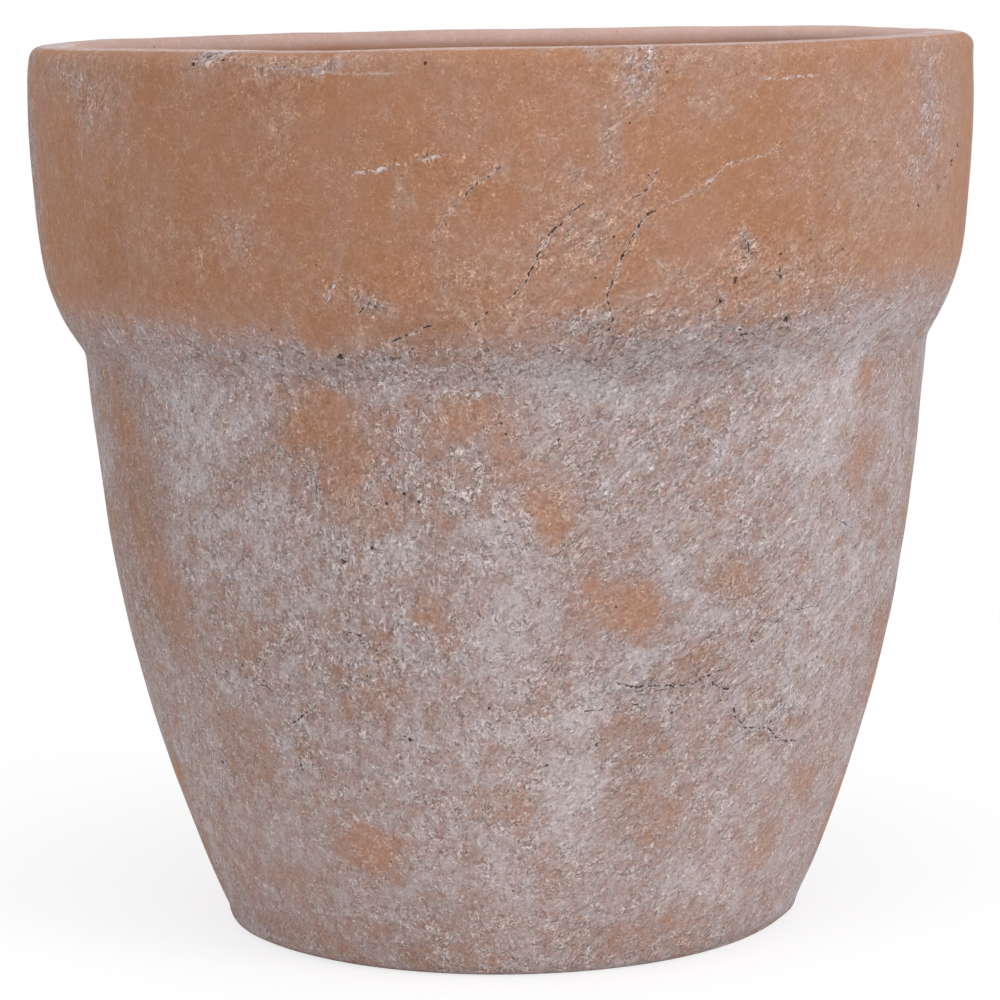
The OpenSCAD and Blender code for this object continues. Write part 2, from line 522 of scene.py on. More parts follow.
# Lime haze on the collar
HAZE = (
    (-55, 359, 14, 11, 0.25), (-35, 376, 10, 6, 0.25), (-30, 309, 8, 7, 0.15), (-11, 321, 3, 7, 0.3),
    (-15, 284, 5, 7, 0.3), (-4, 326, 10, 4, 0.15, 40), (7, 331, 6, 4, 0.2), (10, 375, 5, 6, 0.25),
    (16, 369, 7, 14, 0.4), (23, 356, 7, 5, 0.22), (28, 300, 5, 4, 0.2), (12, 340, 4, 19, 0.2),
    (10, 308, 4, 11, 0.2), (6, 303, 11, 13, 0.12), (-48, 355, 6, 17, 0.12), (-25, 347, 6, 17, 0.14),
    (-22, 374, 28, 5, 0.15), (59, 349, 17, 30, 0.25), (50, 327, 17, 26, 0.12), (-62, 368, 18, 9, 0.2),
    (0, 335, 4, 5, 0.1), (-5, 349, 9, 9, 0.08), (25, 372, 24, 6, 0.12), (84, 340, 16, 60, 0.42),
    (-81, 345, 24, 50, 0.32), (-5, 295, 15, 16, 0.15), (33, 291, 28, 12, 0.17), (-34.5, 374.5, 5, 3, 0.5),
    (-20, 371, 9, 2, 0.3), (40, 332, 24, 30, 0.09), (62, 332, 30, 44, 0.11), (0, 280, 40, 6, 0.08),
    (8.5, 275, 11, 4, 0.42), (19, 281, 22, 9, 0.16),
)
# Clay of the collar that the wash has left clean
CLEAN_COLLAR = (
    (-21, 341, 18, 32, 0.1), (-8, 311, 20, 34, 0.1), (-39, 348, 25, 17, 0.06), (-53, 304, 10, 13, 0.08),
    (24, 327, 24, 24, 0.14), (35, 308, 16, 15, 0.08), (3, 356, 17, 13, 0.05),
)
# Clay that shows through the lime coat of the body
BARE_BODY = (
    (-62, 236, 15, 17, 0.32), (-59, 206, 15, 20, 0.3), (-59, 174, 15, 15, 0.34), (-56, 150, 13, 13, 0.34),
    (-22, 240, 13, 9, 0.38), (-20, 220, 10, 12, 0.45), (-26, 243, 12, 9, 0.2), (-27, 227, 12, 13, 0.2),
    (-6, 237, 12, 9, 0.3), (5, 197, 9, 11, 0.45), (1, 225, 9, 17, 0.2), (16, 159, 12, 10, 0.5),
    (12, 170, 6, 6, 0.25), (-10, 155, 8, 9, 0.3), (-13, 165, 9, 9, 0.15), (32, 163, 10, 9, 0.4),
    (27, 135, 12, 6, 0.35, 15), (-24, 61, 13, 9, 0.4), (-21, 51, 7, 6, 0.25), (-19, 121, 11, 7, 0.28),
    (-27, 126, 8, 5, 0.15), (-12, 132, 7, 5, 0.15), (45, 42, 13, 7, 0.35, 50), (53, 71, 12, 11, 0.3),
    (55, 245, 9, 9, 0.35), (54, 212, 12, 12, 0.35), (62, 184, 9, 13, 0.15), (-37, 206, 10, 9, 0.18),
    (-38, 144, 12, 9, 0.28), (-42, 95, 16, 17, 0.2), (-51, 130, 14, 17, 0.1), (-43, 37, 14, 7, 0.2),
    (-55, 41, 14, 13, 0.12), (17, 105, 11, 8, 0.22), (25, 63, 14, 13, 0.22), (20, 82, 6, 8, 0.2),
    (6, 132, 5, 22, 0.22, -15), (25, 233, 8, 5, 0.22), (28, 204, 6, 8, 0.2), (-9, 222, 44, 26, 0.14),
    (-15, 197, 22, 6, 0.2), (-23, 204, 12, 9, 0.15), (-1, 81, 6, 6, 0.2), (3, 68, 6, 8, 0.2),
    (6, 47, 4, 12, 0.22), (-21, 14, 37, 9, 0.15), (24, 14, 28, 8, 0.2), (-47, 12, 19, 7, 0.2),
    (-68, 190, 14, 60, 0.14),
)
# Thick, whitest lime
WHITE_LIME = (
    (13, 248, 22, 6, 0.3), (37, 253, 14, 6, 0.25), (50, 248, 9, 9, 0.3), (54, 226, 9, 7, 0.3),
    (45, 216, 18, 26, 0.15), (-40, 235, 22, 9, 0.2), (-47, 219, 10, 17, 0.15), (-33, 203, 6, 6, 0.15),
    (-39, 185, 22, 13, 0.12), (-22, 188, 9, 4, 0.15), (-13, 181, 7, 7, 0.25), (-1, 193, 12, 6, 0.25),
    (0, 169, 7, 11, 0.15), (-14, 146, 6, 12, 0.25), (-1, 145, 22, 17, 0.12), (22, 168, 8, 9, 0.25),
    (27, 149, 11, 6, 0.25), (17, 135, 9, 6, 0.25), (11, 113, 9, 6, 0.3), (8, 87, 10, 15, 0.2),
    (-46, 124, 10, 8, 0.15), (7, 61, 9, 9, 0.12), (34, 36, 21, 12, 0.15), (41, 139, 23, 22, 0.12),
    (56, 149, 23, 39, 0.1), (-16, 250, 13, 6, 0.15), (-1, 252, 26, 4, 0.1), (24, 261, 19, 4, 0.15),
    (44, 78, 8, 5, 0.15), (-5, 68, 9, 7, 0.1), (52, 257, 14, 10, 0.2),
)
# Grime, with painted shade under the collar and on the left flank, and with a minus sign places made lighter
GRIME = (
    (-59, 224, 17, 43, 0.08), (-59, 191, 14, 13, 0.08), (-59, 149, 17, 13, 0.08), (-46, 72, 19, 39, 0.02),
    (-23, 224, 19, 17, 0.06), (-10, 273, 13, 6, 0.1), (-52, 300, 14, 17, 0.06), (-21, 258, 28, 3, 0.08),
    (32, 165, 10, 9, 0.06), (27, 133, 15, 9, 0.08), (19, 102, 9, 9, 0.06), (-23, 62, 13, 9, -0.06),
    (20, 78, 11, 17, 0.05), (42, 98, 12, 4, 0.08), (-11, 29, 9, 5, 0.06), (46, 239, 31, 22, -0.1),
    (17, 244, 13, 6, -0.05), (9, 85, 9, 11, -0.06), (11, 113, 9, 5, -0.08), (38, 36, 16, 11, -0.06),
    (-39, 229, 17, 9, -0.04), (16, 369, 7, 13, -0.05), (22, 258, 75, 14, 0.09), (-22, 243, 60, 8, -0.06),
    (-68, 190, 14, 60, 0.04), (36, 325, 30, 36, 0.035),
)
# Where the crust is flakier than elsewhere, and with a minus sign where it is smoother
FLAKES = (
    (5, 305, 11, 11, 0.45), (0, 284, 15, 8, 0.3), (-10, 261, 26, 8, 0.3), (-12, 244, 10, 15, 0.15),
    (-13, 210, 16, 11, 0.35), (-21, 182, 14, 10, 0.35), (-17, 142, 27, 15, 0.25), (13, 307, 10, 15, 0.5),
    (19, 272, 40, 9, 0.35), (34, 272, 13, 7, 0.3), (20, 226, 27, 17, 0.2), (34, 144, 23, 5, 0.25, 25),
    (21, 125, 28, 4, 0.2), (38, 105, 21, 8, 0.35), (-33, 101, 9, 11, 0.2), (0, 193, 9, 9, 0.2),
    (-6, 213, 9, 9, 0.15), (-33, 306, 23, 9, 0.3), (-29, 368, 15, 9, 0.4), (-23, 371, 11, 7, 0.3),
    (10, 348, 26, 26, 0.12), (-7, 337, 10, 5, 0.35), (-2, 326, 8, 11, 0.25), (7, 327, 11, 9, 0.25),
    (16, 319, 8, 11, 0.3), (27, 295, 10, 13, 0.4), (-16, 288, 18, 10, 0.35), (36, 285, 32, 11, 0.3),
    (-52, 363, 18, 8, 0.2), (18, 366, 8, 9, 0.3), (-44, 313, 13, 9, 0.15), (-21, 234, 9, 11, -0.3),
    (-60, 215, 22, 64, -0.25), (-45, 107, 28, 12, -0.35), (-42, 47, 32, 34, -0.4), (-15, 38, 18, 13, -0.25),
    (17, 158, 18, 10, -0.2), (1, 155, 26, 13, -0.1), (48, 54, 26, 30, -0.25), (54, 221, 25, 47, -0.2),
    (-53, 151, 18, 26, -0.2), (-19, 362, 23, 13, -0.12), (-38, 335, 27, 17, -0.08), (22, 305, 9, 13, -0.1),
    (60, 340, 34, 44, -0.3), (78, 335, 22, 50, -0.2),
)


@dataclass
class Skin:
    """Points of the pot's smooth surface, in millimetres and degrees."""

    place: np.ndarray
    outward: np.ndarray
    azimuth: np.ndarray
    height: np.ndarray
    radius: np.ndarray
    is_outside: np.ndarray

    def ripple(self, size_mm: float, seed: float) -> np.ndarray:
        """Smooth noise over the surface.

        Args:
            size_mm: Size of its features.
            seed: Tells one noise from another.

        Returns:
            A value from about -1 to 1 for each point.
        """
        offset = Vector((seed, 3.7 * seed, -seed))
        return np.array([noise.noise(Vector(p) / size_mm + offset) for p in self.place])


class Strewn(Enum):
    """What lies at random round the sides and the back.

    Each kind has its number of patches, their lowest and highest height in mm and their largest amount. They
    are drawn in this order.
    """

    HAZE = (40, 285, 378, 0.28)
    CLEAN_COLLAR = (12, 285, 370, 0.1)
    WHITE_LIME = (60, 5, 262, 0.26)
    BARE_BODY = (80, 5, 258, 0.42)
    FLAKES = (60, 5, 378, 0.35)
    SMOOTH = (40, 5, 378, 0.35)
    GRIME = (30, 10, 300, 0.12)


class Weathering:
    """Where lime, clay and grime lie on the pot, as patches with ragged outlines, and where shade and light
    are painted.

    Amounts are shares of a full coat, and heights and distances are in mm. Each wave has its height, its size
    and a seed, and each reach is where an effect sets in and where it is full.
    """

    SEED = 41
    DRIFT_WAVES = ((7.0, 26.0, 1.5), (3.5, 9.0, 7.5))
    DRIFT_SEEDS = (0, 11)
    PATCH_POWER = 1.5
    PATCH_SOFTNESS = 1.8
    FRONT_LIMIT = 72.0
    STREWN_ACROSS = (7.0, 22.0)
    STREWN_TALL = (5.0, 17.0)
    STREWN_SHARE = (0.35, 1.0)
    STREWN_TILT = (-40.0, 40.0)
    COLLAR_LIME = 0.12
    BODY_LIME = 0.67
    LEAST_LIME = 0.18
    HAZE_LIME = 0.8
    BORDER_DRIFT = 0.7
    BORDER_REACH = (-20.0, 6.0)
    COLLAR_CRUST = 0.5
    HAZE_CRUST = 2.4
    LEAST_CRUST = 0.25
    MOST_CRUST = 1.7
    # Painted light on the rim's upward-facing top, with some lime
    RIM_LIME = 0.35
    RIM_WASHED = 0.4
    RIM_FACING = (0.94, 1.0)
    RIM_REACH = (374.0, 377.0)
    # Painted shade in a band under the collar
    SHADE_DIRT = 0.08
    SHADE_HEIGHT = 257.0
    SHADE_SPREAD = 9.0
    # Lighter towards the foot
    FOOT_WASHED = 0.1
    FOOT_REACH = (30.0, 150.0)
    RIM_MIDDLE = 180.0
    INSIDE_LOWEST = 300.0
    INSIDE_LIME = 0.05
    INSIDE_LIME_DRIFT = 0.015
    INSIDE_CRUST = 0.14
    INSIDE_DIRT = 0.06
    INSIDE_DIRT_DRIFT = 0.008
    # Painted shade inside below the mouth, eased by painted light on the back right
    STAIN = 0.17
    STAIN_REACH = (337.0, 365.0)
    CLEANER_AT = 140.0
    CLEANER_WIDE = 45.0
    CLEANER = 0.34
    # Lime and painted light at the inner edge of the mouth
    MOUTH_LIME = 0.4
    MOUTH_WASHED = 0.56
    MOUTH_REACH = (368.5, 374.0)

    def __init__(self, skin: Skin) -> None:
        """Prepares the ragged coordinates in which the patches are drawn.

        Args:
            skin: Points of the surface.
        """
        self.skin = skin
        self.drift = [
            sum(height * skin.ripple(size, seed + extra) for height, size, seed in self.DRIFT_WAVES)
            for extra in self.DRIFT_SEEDS
        ]

    def coverage(self, patches: Iterable[Sequence[float]]) -> np.ndarray:
        """Adds up patches.

        Args:
            patches: Rows that make a Patch each.

        Returns:
            The sum of the patches' amounts at each point.
        """
        skin = self.skin
        total = np.zeros(len(skin.azimuth))
        for patch in (Patch(*row) for row in patches):
            away = (skin.azimuth - patch.azimuth + 180) % 360 - 180
            x = np.radians(away) * skin.radius + self.drift[0]
            y = skin.height - patch.height + self.drift[1]
            c, s = math.cos(math.radians(patch.tilt)), math.sin(math.radians(patch.tilt))
            u, v = (c * x + s * y) / patch.across, (c * y - s * x) / patch.tall
            total += patch.amount * np.exp(-((u * u + v * v) ** self.PATCH_POWER) / self.PATCH_SOFTNESS)
        return total * skin.is_outside

    def scattered(self, rng: np.random.Generator, kind: Strewn) -> np.ndarray:
        """Strews patches of one kind.

        Args:
            rng: Source of random numbers.
            kind: Which kind.

        Returns:
            The sum of their amounts at each point.
        """
        count, low, high, most = kind.value
        azimuths = rng.uniform(self.FRONT_LIMIT, 360 - self.FRONT_LIMIT, count)
        rows = []
        for azimuth in azimuths:
            height, across = rng.uniform(low, high), rng.uniform(*self.STREWN_ACROSS)
            tall, amount = rng.uniform(*self.STREWN_TALL), rng.uniform(*self.STREWN_SHARE) * most
            rows.append((azimuth, height, across, tall, amount, rng.uniform(*self.STREWN_TILT)))
        return self.coverage(rows)

    def fields(self) -> dict[str, np.ndarray]:
        """Works out the coat.

        Returns:
            Lime, crust, and grime with painted shade and light, at each point, each about 0 to 1.
        """
        skin = self.skin
        rng = np.random.default_rng(self.SEED)
        strewn = {kind: self.scattered(rng, kind) for kind in Strewn}
        past_border = skin.height + self.BORDER_DRIFT * self.drift[1]
        past_border = past_border - np.interp(skin.azimuth, *zip(*LIME_BORDER))
        below = 1 - smooth_step(past_border, *self.BORDER_REACH)
        haze = self.coverage(HAZE) + strewn[Strewn.HAZE]
        lime = self.COLLAR_LIME + (self.BODY_LIME - self.COLLAR_LIME) * below
        lime += self.HAZE_LIME * haze
        lime -= self.coverage(CLEAN_COLLAR) + strewn[Strewn.CLEAN_COLLAR]
        lime += self.coverage(WHITE_LIME) + strewn[Strewn.WHITE_LIME]
        lime -= self.coverage(BARE_BODY) + strewn[Strewn.BARE_BODY]
        lime = np.maximum(lime, self.LEAST_LIME * below)
        crust = self.COLLAR_CRUST + (1 - self.COLLAR_CRUST) * below + self.HAZE_CRUST * haze * (1 - below)
        crust += self.coverage(FLAKES) + strewn[Strewn.FLAKES]
        crust -= strewn[Strewn.SMOOTH]
        crust = np.clip(crust, self.LEAST_CRUST, self.MOST_CRUST)
        grime = self.coverage(GRIME) + strewn[Strewn.GRIME]
        # Painted shade in a band under the collar
        grime += self.SHADE_DIRT * np.exp(-(((skin.height - self.SHADE_HEIGHT) / self.SHADE_SPREAD) ** 2))
        # Lighter towards the foot
        grime -= self.FOOT_WASHED * (1 - smooth_step(skin.height, *self.FOOT_REACH))
        inner = (skin.radius < self.RIM_MIDDLE) & (skin.height > self.INSIDE_LOWEST)
        # The rim's upward-facing top gets painted light and a little more lime
        on_rim = smooth_step(skin.outward[:, 2], *self.RIM_FACING) * ~inner
        on_rim = on_rim * smooth_step(skin.height, *self.RIM_REACH)
        film, stained = self._inside(inner)
        hidden = inner | ~skin.is_outside
        lime = np.where(hidden, film, lime) + self.RIM_LIME * on_rim
        grime = np.where(hidden, stained, grime) - self.RIM_WASHED * on_rim
        return {"lime": lime, "crust": np.where(hidden, self.INSIDE_CRUST, crust), "grime": grime}

    def _inside(self, inner: np.ndarray) -> tuple[np.ndarray, np.ndarray]:
        """Works out the thin film inside the pot, with painted shade below the mouth, eased by painted light
        on the back right, and painted light at the mouth's edge.

        Args:
            inner: Whether each point is on the inner side of the rim.

        Returns:
            Lime, and grime with painted shade and light, at each point.
        """
        skin = self.skin
        mouth = smooth_step(skin.height, *self.MOUTH_REACH) * inner
        film = self.INSIDE_LIME + self.MOUTH_LIME * mouth + self.INSIDE_LIME_DRIFT * np.abs(self.drift[0])
        # Painted shade below the mouth, eased by painted light on the back right, and painted light at the
        # mouth's edge
        away = (skin.azimuth - self.CLEANER_AT + 180) % 360 - 180
        stain = self.STAIN - self.CLEANER * np.exp(-((away / self.CLEANER_WIDE) ** 2))
        stained = self.INSIDE_DIRT + stain * smooth_step(skin.height, *self.STAIN_REACH)
        return film, stained + self.INSIDE_DIRT_DRIFT * self.drift[1] - self.MOUTH_WASHED * mouth


class DryingCracks:
    """The drying cracks and grit holes, as points on the surface that the skin is pressed in along.

    Lengths are in mm, and each wave has its height, its length and a seed. A pair of shares is what a crack
    has all along and what it has only where it is open, or for its chalk, where it is closed.
    """

    STEP = 0.5
    FAR = 5.0
    SWAY_WAVES = ((0.9, 7.0, 0.0), (0.5, 2.2, 9.0))
    GAP_WAVES = ((1.0, 3.4, 20.0), (0.5, 1.3, 30.0))
    TAPER = (-1.0, 3.0)
    OPEN_GAPS = (-0.28, 0.07)
    CLOSED_GAPS = (-0.3, 0.4)
    WIDTH_GAPS = (-0.5, 0.6)
    DARK_SHARES = (0.25, 0.75)
    CHALK_SHARES = (0.55, 0.45)
    DEPTH_SHARES = (0.4, 0.6)
    WIDTH_SHARES = (0.8, 0.9)
    BOWL_WIDTHS = 1.6
    LIP_WIDTHS = 3.0
    LIP_SPREAD = 0.6
    LIP_HEIGHT = 0.14
    PIT_DEPTH = 0.9
    PIT_REACH = (-0.5, 0.9)
    NO_PIT = -2.0

    def __init__(self, outline: Outline, cracks: Sequence[Crack], pits: Sequence[Pit]) -> None:
        """Lays the cracks and pits on the surface.

        Args:
            outline: The pot's section.
            cracks: Cracks, by azimuth and height.
            pits: Pits, by azimuth and height.
        """
        self.outline = outline
        rows = [self._lay(number, each) for number, each in enumerate(cracks)]
        self.samples = {name: np.concatenate([row[name] for row in rows]) for name in rows[0]}
        self.tree = self._tree(self.samples["place"])
        self.pit_radii = np.array([pit.radius for pit in pits])
        self.pit_tree = self._tree([self._point(pit.azimuth, outline.outside(pit.height)) for pit in pits])

    @staticmethod
    def _tree(places: Sequence[np.ndarray]) -> kdtree.KDTree:
        """Makes a search tree.

        Args:
            places: Points in space.

        Returns:
            The tree, which gives each place by its number.
        """
        tree = kdtree.KDTree(len(places))
        for index, place in enumerate(places):
            tree.insert(place, index)
        tree.balance()
        return tree

    @staticmethod
    def _waver(distances: np.ndarray, number: int, waves: Sequence[Sequence[float]]) -> np.ndarray:
        """Adds up waves of noise along a crack.

        Args:
            distances: Distances along the crack.
            number: Number of the crack.
            waves: Height, length and seed of each wave.

        Returns:
            The sum at each distance.
        """
        total = np.zeros(len(distances))
        for height, length, seed in waves:
            total += height * np.array([noise.noise((d / length, number, seed)) for d in distances])
        return total

    def _point(self, azimuth: float, along: float) -> np.ndarray:
        """Finds a point of the surface.

        Args:
            azimuth: Azimuth in degrees.
            along: Distance along the section.

        Returns:
            The point in space.
        """
        r, z, _ = self.outline.at(np.array(along))
        a = math.radians(azimuth)
        return np.array([r * math.sin(a), -r * math.cos(a), z])

    def _lay(self, number: int, each: Crack) -> dict[str, np.ndarray]:
        """Follows one crack over the surface.

        Args:
            number: Number of the crack, which its wandering depends on.
            each: The crack.

        Returns:
            Samples of its place, its sideways direction and its look, half a millimetre apart.
        """
        azimuths, heights = (np.array(v, float) for v in zip(*each.path))
        along = self.outline.outside(heights)
        radius = float(self.outline.at(along)[0].mean())
        flat = np.stack([np.radians(azimuths) * radius, along], axis=1)
        reach = np.concatenate([[0], np.cumsum(np.linalg.norm(np.diff(flat, axis=0), axis=1))])
        t = np.arange(0, reach[-1], self.STEP)
        x, s = (np.interp(t, reach, flat[:, i]) for i in (0, 1))
        heading = np.stack([np.gradient(x), np.gradient(s)], axis=1)
        heading /= np.linalg.norm(heading, axis=1, keepdims=True)
        sway = self._waver(t, number, self.SWAY_WAVES)
        gaps = self._waver(t, number, self.GAP_WAVES)
        x, s = x - heading[:, 1] * sway, s + heading[:, 0] * sway
        r, z, out = self.outline.at(s)
        a = x / radius
        spoke = np.stack([np.sin(a), -np.cos(a), np.zeros_like(a)], axis=1)
        level = np.stack([np.cos(a), np.sin(a), np.zeros_like(a)], axis=1)
        upward = -spoke * out[:, 1:] + np.array([0, 0, 1.0]) * out[:, :1]
        dark, chalk, depth, width = each.kind.value
        ends = smooth_step(np.minimum(t, t[-1] - t), *self.TAPER)
        opened = smooth_step(gaps, *self.OPEN_GAPS)
        closed = smooth_step(-gaps, *self.CLOSED_GAPS)
        return {
            "place": spoke * r[:, None] + np.array([0, 0, 1.0]) * z[:, None],
            "side": -level * heading[:, 1:] + upward * heading[:, :1],
            "dark": dark * ends * self._shared(self.DARK_SHARES, opened),
            "chalk": chalk * ends * self._shared(self.CHALK_SHARES, closed),
            "depth": depth * ends * self._shared(self.DEPTH_SHARES, opened),
            "width": width * self._shared(self.WIDTH_SHARES, np.clip(gaps, *self.WIDTH_GAPS)),
        }

    @staticmethod
    def _shared(shares: tuple[float, float], amount: np.ndarray) -> np.ndarray:
        """The first share, plus the second times an amount."""
        return shares[0] + shares[1] * amount

    def distance(self, places: np.ndarray) -> np.ndarray:
        """Distance from each place to the nearest crack or pit."""
        return np.array([min(self.tree.find(p)[2], self.pit_tree.find(p)[2]) for p in places])

    def press(self, places: np.ndarray) -> dict[str, np.ndarray]:
        """Finds what the cracks and pits do at places of the surface.

        Args:
            places: Points of the surface, in mm.

        Returns:
            How far each point goes out, its signed distance from the middle of the nearest crack, how wide,
            dark and chalky that crack is, and how far inside a pit the point is.
        """
        hits = [self.tree.find(p) for p in places]
        index = np.array([hit[1] for hit in hits])
        gap = np.array([hit[2] for hit in hits])
        near = {name: values[index] for name, values in self.samples.items()}
        across = np.einsum("ij,ij->i", places - near["place"], near["side"])
        close = gap < self.FAR
        bowl = np.exp(-((gap / (self.BOWL_WIDTHS * near["width"])) ** 2))
        lip = np.exp(-(((gap - self.LIP_WIDTHS * near["width"]) / self.LIP_SPREAD) ** 2))
        pit_hits = [self.pit_tree.find(p) for p in places]
        radii = self.pit_radii[[hit[1] for hit in pit_hits]]
        inside = np.clip(1 - np.array([hit[2] for hit in pit_hits]) / radii, self.NO_PIT, 1)
        out = close * (self.LIP_HEIGHT * near["chalk"] * lip - near["depth"] * bowl)
        return {
            "out": out - self.PIT_DEPTH * radii * smooth_step(inside, *self.PIT_REACH),
            "rift": np.clip(np.where(across < 0, -gap, gap), -self.FAR, self.FAR),
            "rift_width": near["width"] * close,
            "rift_dark": near["dark"] * close,
            "rift_chalk": near["chalk"] * close,
            "pit": inside,
        }


class CellNet:
    """The unrolled surface as cells, which are split in four again and again where a crack or pit needs it.

    A cell's place is counted in the smallest cells: columns go round the pot, rows go along its section, and
    both close on themselves. The lengths of cells and reaches are in mm.
    """

    DEPTH = 4
    COLUMNS = 144
    OUTER_CELL = 8.0
    INNER_CELL = 10.0
    CORNER_CELL = 2.8
    CORNER_REACH = 6.0
    EDGE_REACH = 4.0
    CRACK_REACH = 0.4
    LEAST_ROOM = 0.15
    HIDDEN_ROOM = 0.5

    def __init__(self, outline: Outline) -> None:
        """Spaces the rows along the section, closer at its corners.

        Args:
            outline: The pot's section.
        """
        self.outline = outline
        along, corners = outline.along, outline.corners
        outer = (along > corners["recess"]) & (along < corners["mouth"])
        spacing = np.where(outer, self.OUTER_CELL, self.INNER_CELL)
        for name in ("drain_low", "recess", "neck", "collar_low", "drain_top", "inner_wall"):
            near = np.abs(along - corners[name]) < self.CORNER_REACH
            spacing = np.where(near, self.CORNER_CELL, spacing)
        for first, last in (("foot", "body"), ("rim_side", "mouth")):
            near = (along > corners[first] - self.EDGE_REACH) & (along < corners[last] + self.EDGE_REACH)
            spacing = np.where(near, self.CORNER_CELL, spacing)
        reach = np.concatenate([[0], np.cumsum(np.full(len(along), along[1]) / spacing)])
        self.rows = round(reach[-1])
        self._reach = reach * (self.rows / reach[-1])
        self._along = np.append(along, outline.length)
        self.unit = 2**self.DEPTH

    def along(self, v: np.ndarray) -> np.ndarray:
        """Distance along the section of rows counted in the smallest cells."""
        return np.interp(v / self.unit, self._reach, self._along)

    def skin(self, u: np.ndarray, v: np.ndarray) -> Skin:
        """Places points of the net on the smooth surface.

        Args:
            u: Columns, counted in the smallest cells.
            v: Rows, counted in the smallest cells.

        Returns:
            The points, in millimetres.
        """
        along = self.along(v)
        r, z, out = self.outline.at(along)
        azimuth = u / (self.COLUMNS * self.unit) * 360 - 180
        a = np.radians(azimuth)
        spoke = np.stack([np.sin(a), -np.cos(a), np.zeros_like(a)], axis=1)
        up = np.array([0, 0, 1.0])
        return Skin(
            place=spoke * r[:, None] + up * z[:, None],
            outward=spoke * out[:, :1] + up * out[:, 1:],
            azimuth=azimuth,
            height=z,
            radius=r,
            is_outside=self._outside(along),
        )

    def _outside(self, along: np.ndarray) -> np.ndarray:
        """Whether distances along the section are on the pot's outside, from the foot to the mouth."""
        corners = self.outline.corners
        return (along > corners["foot"]) & (along < corners["mouth"])

    def leaves(self, cracks: DryingCracks) -> list[tuple[int, np.ndarray]]:
        """Splits the cells.

        Args:
            cracks: What the cells have to be small for.

        Returns:
            For each size of cell, the size and the lowest column and row of each cell.
        """
        u, v = np.meshgrid(np.arange(self.COLUMNS), np.arange(self.rows))
        cells = np.stack([u.ravel(), v.ravel()], axis=1) * self.unit
        done = []
        for level in range(self.DEPTH + 1):
            size = self.unit >> level
            middle = self.skin(cells[:, 0] + size / 2, cells[:, 1] + size / 2)
            if level == 0:
                split = middle.is_outside
            elif level < self.DEPTH:
                reach = self.OUTER_CELL * size / self.unit + self.CRACK_REACH
                split = middle.is_outside.copy()
                split[split] = cracks.distance(middle.place[split]) < reach
            else:
                split = np.zeros(len(cells), bool)
            done.append((size, cells[~split]))
            half = size // 2
            corners = np.array([[0, 0], [half, 0], [0, half], [half, half]])
            cells = (cells[split][:, None, :] + corners).reshape(-1, 2)
        return done

    def weave(
        self, leaves: Sequence[tuple[int, np.ndarray]]
    ) -> tuple[np.ndarray, list[np.ndarray], list[np.ndarray]]:
        """Joins the cells into faces that share every corner on their edges.

        A cell whose neighbours are smaller becomes a fan of triangles.

        Args:
            leaves: The cells, by size.

        Returns:
            The column and row of each vertex, then for the four-sided and the three-sided faces the vertices
            of each face, and the columns and rows of its corners, which don't start again after a full turn.
        """
        shifts = np.array([[0, 0], [1, 0], [0, 1], [1, 1]])
        outer = [cells + size * shift for size, cells in leaves for shift in shifts]
        keys = np.unique(self._key(np.concatenate(outer)))
        quads, fans = [], []
        for size, cells in leaves:
            steps, none = np.arange(size), np.zeros(size, int)
            sides = [(steps, none), (none + size, steps), (size - steps, none + size), (none, size - steps)]
            ring = cells[:, None, :] + np.concatenate([np.stack(side, axis=1) for side in sides])
            there = np.isin(self._key(ring), keys)
            whole = there.sum(axis=1) == 4
            quads.append(ring[whole][there[whole]].reshape(-1, 4, 2))
            for cell, spots, marks in zip(cells[~whole], ring[~whole], there[~whole]):
                rim = spots[marks]
                hub = np.broadcast_to(cell + size // 2, rim.shape)
                fans.append(np.stack([hub, rim, np.roll(rim, -1, axis=0)], axis=1))
        spots = [np.concatenate(quads), np.concatenate(fans)]
        keys = np.unique(np.concatenate([self._key(spot).ravel() for spot in spots]))
        faces = [np.searchsorted(keys, self._key(spot)) for spot in spots]
        wide = self.COLUMNS * self.unit
        return np.stack([keys % wide, keys // wide], axis=1), faces, spots

    def _key(self, spots: np.ndarray) -> np.ndarray:
        """One number for each column and row, the same after a full turn."""
        wide, tall = self.COLUMNS * self.unit, self.rows * self.unit
        return spots[..., 0] % wide + spots[..., 1] % tall * wide

    def chart(self, spots: np.ndarray) -> np.ndarray:
        """Lays columns and rows out on a square picture, with more room for the outside than for the inside.

        Args:
            spots: Columns and rows.

        Returns:
            Two coordinates from 0 to 1 for each of them.
        """
        line = self.outline
        weight = np.clip(line.radius / line.radius.max(), self.LEAST_ROOM, 1)
        weight *= np.where(line.height > 0, 1, self.HIDDEN_ROOM)
        weight *= np.where(self._outside(line.along), 1, self.HIDDEN_ROOM)
        room = np.concatenate([[0], np.cumsum(weight)]) / weight.sum()
        across = spots[..., 0] / (self.COLUMNS * self.unit)
        return np.stack([across, np.interp(self.along(spots[..., 1]), self._along, room)], axis=-1)


@dataclass(frozen=True)
class Bulge:
    """A place where the hand-finished pot stands proud of its true shape by out mm, or falls short of it."""

    azimuth: float
    height: float
    wide_deg: float
    tall: float
    out: float


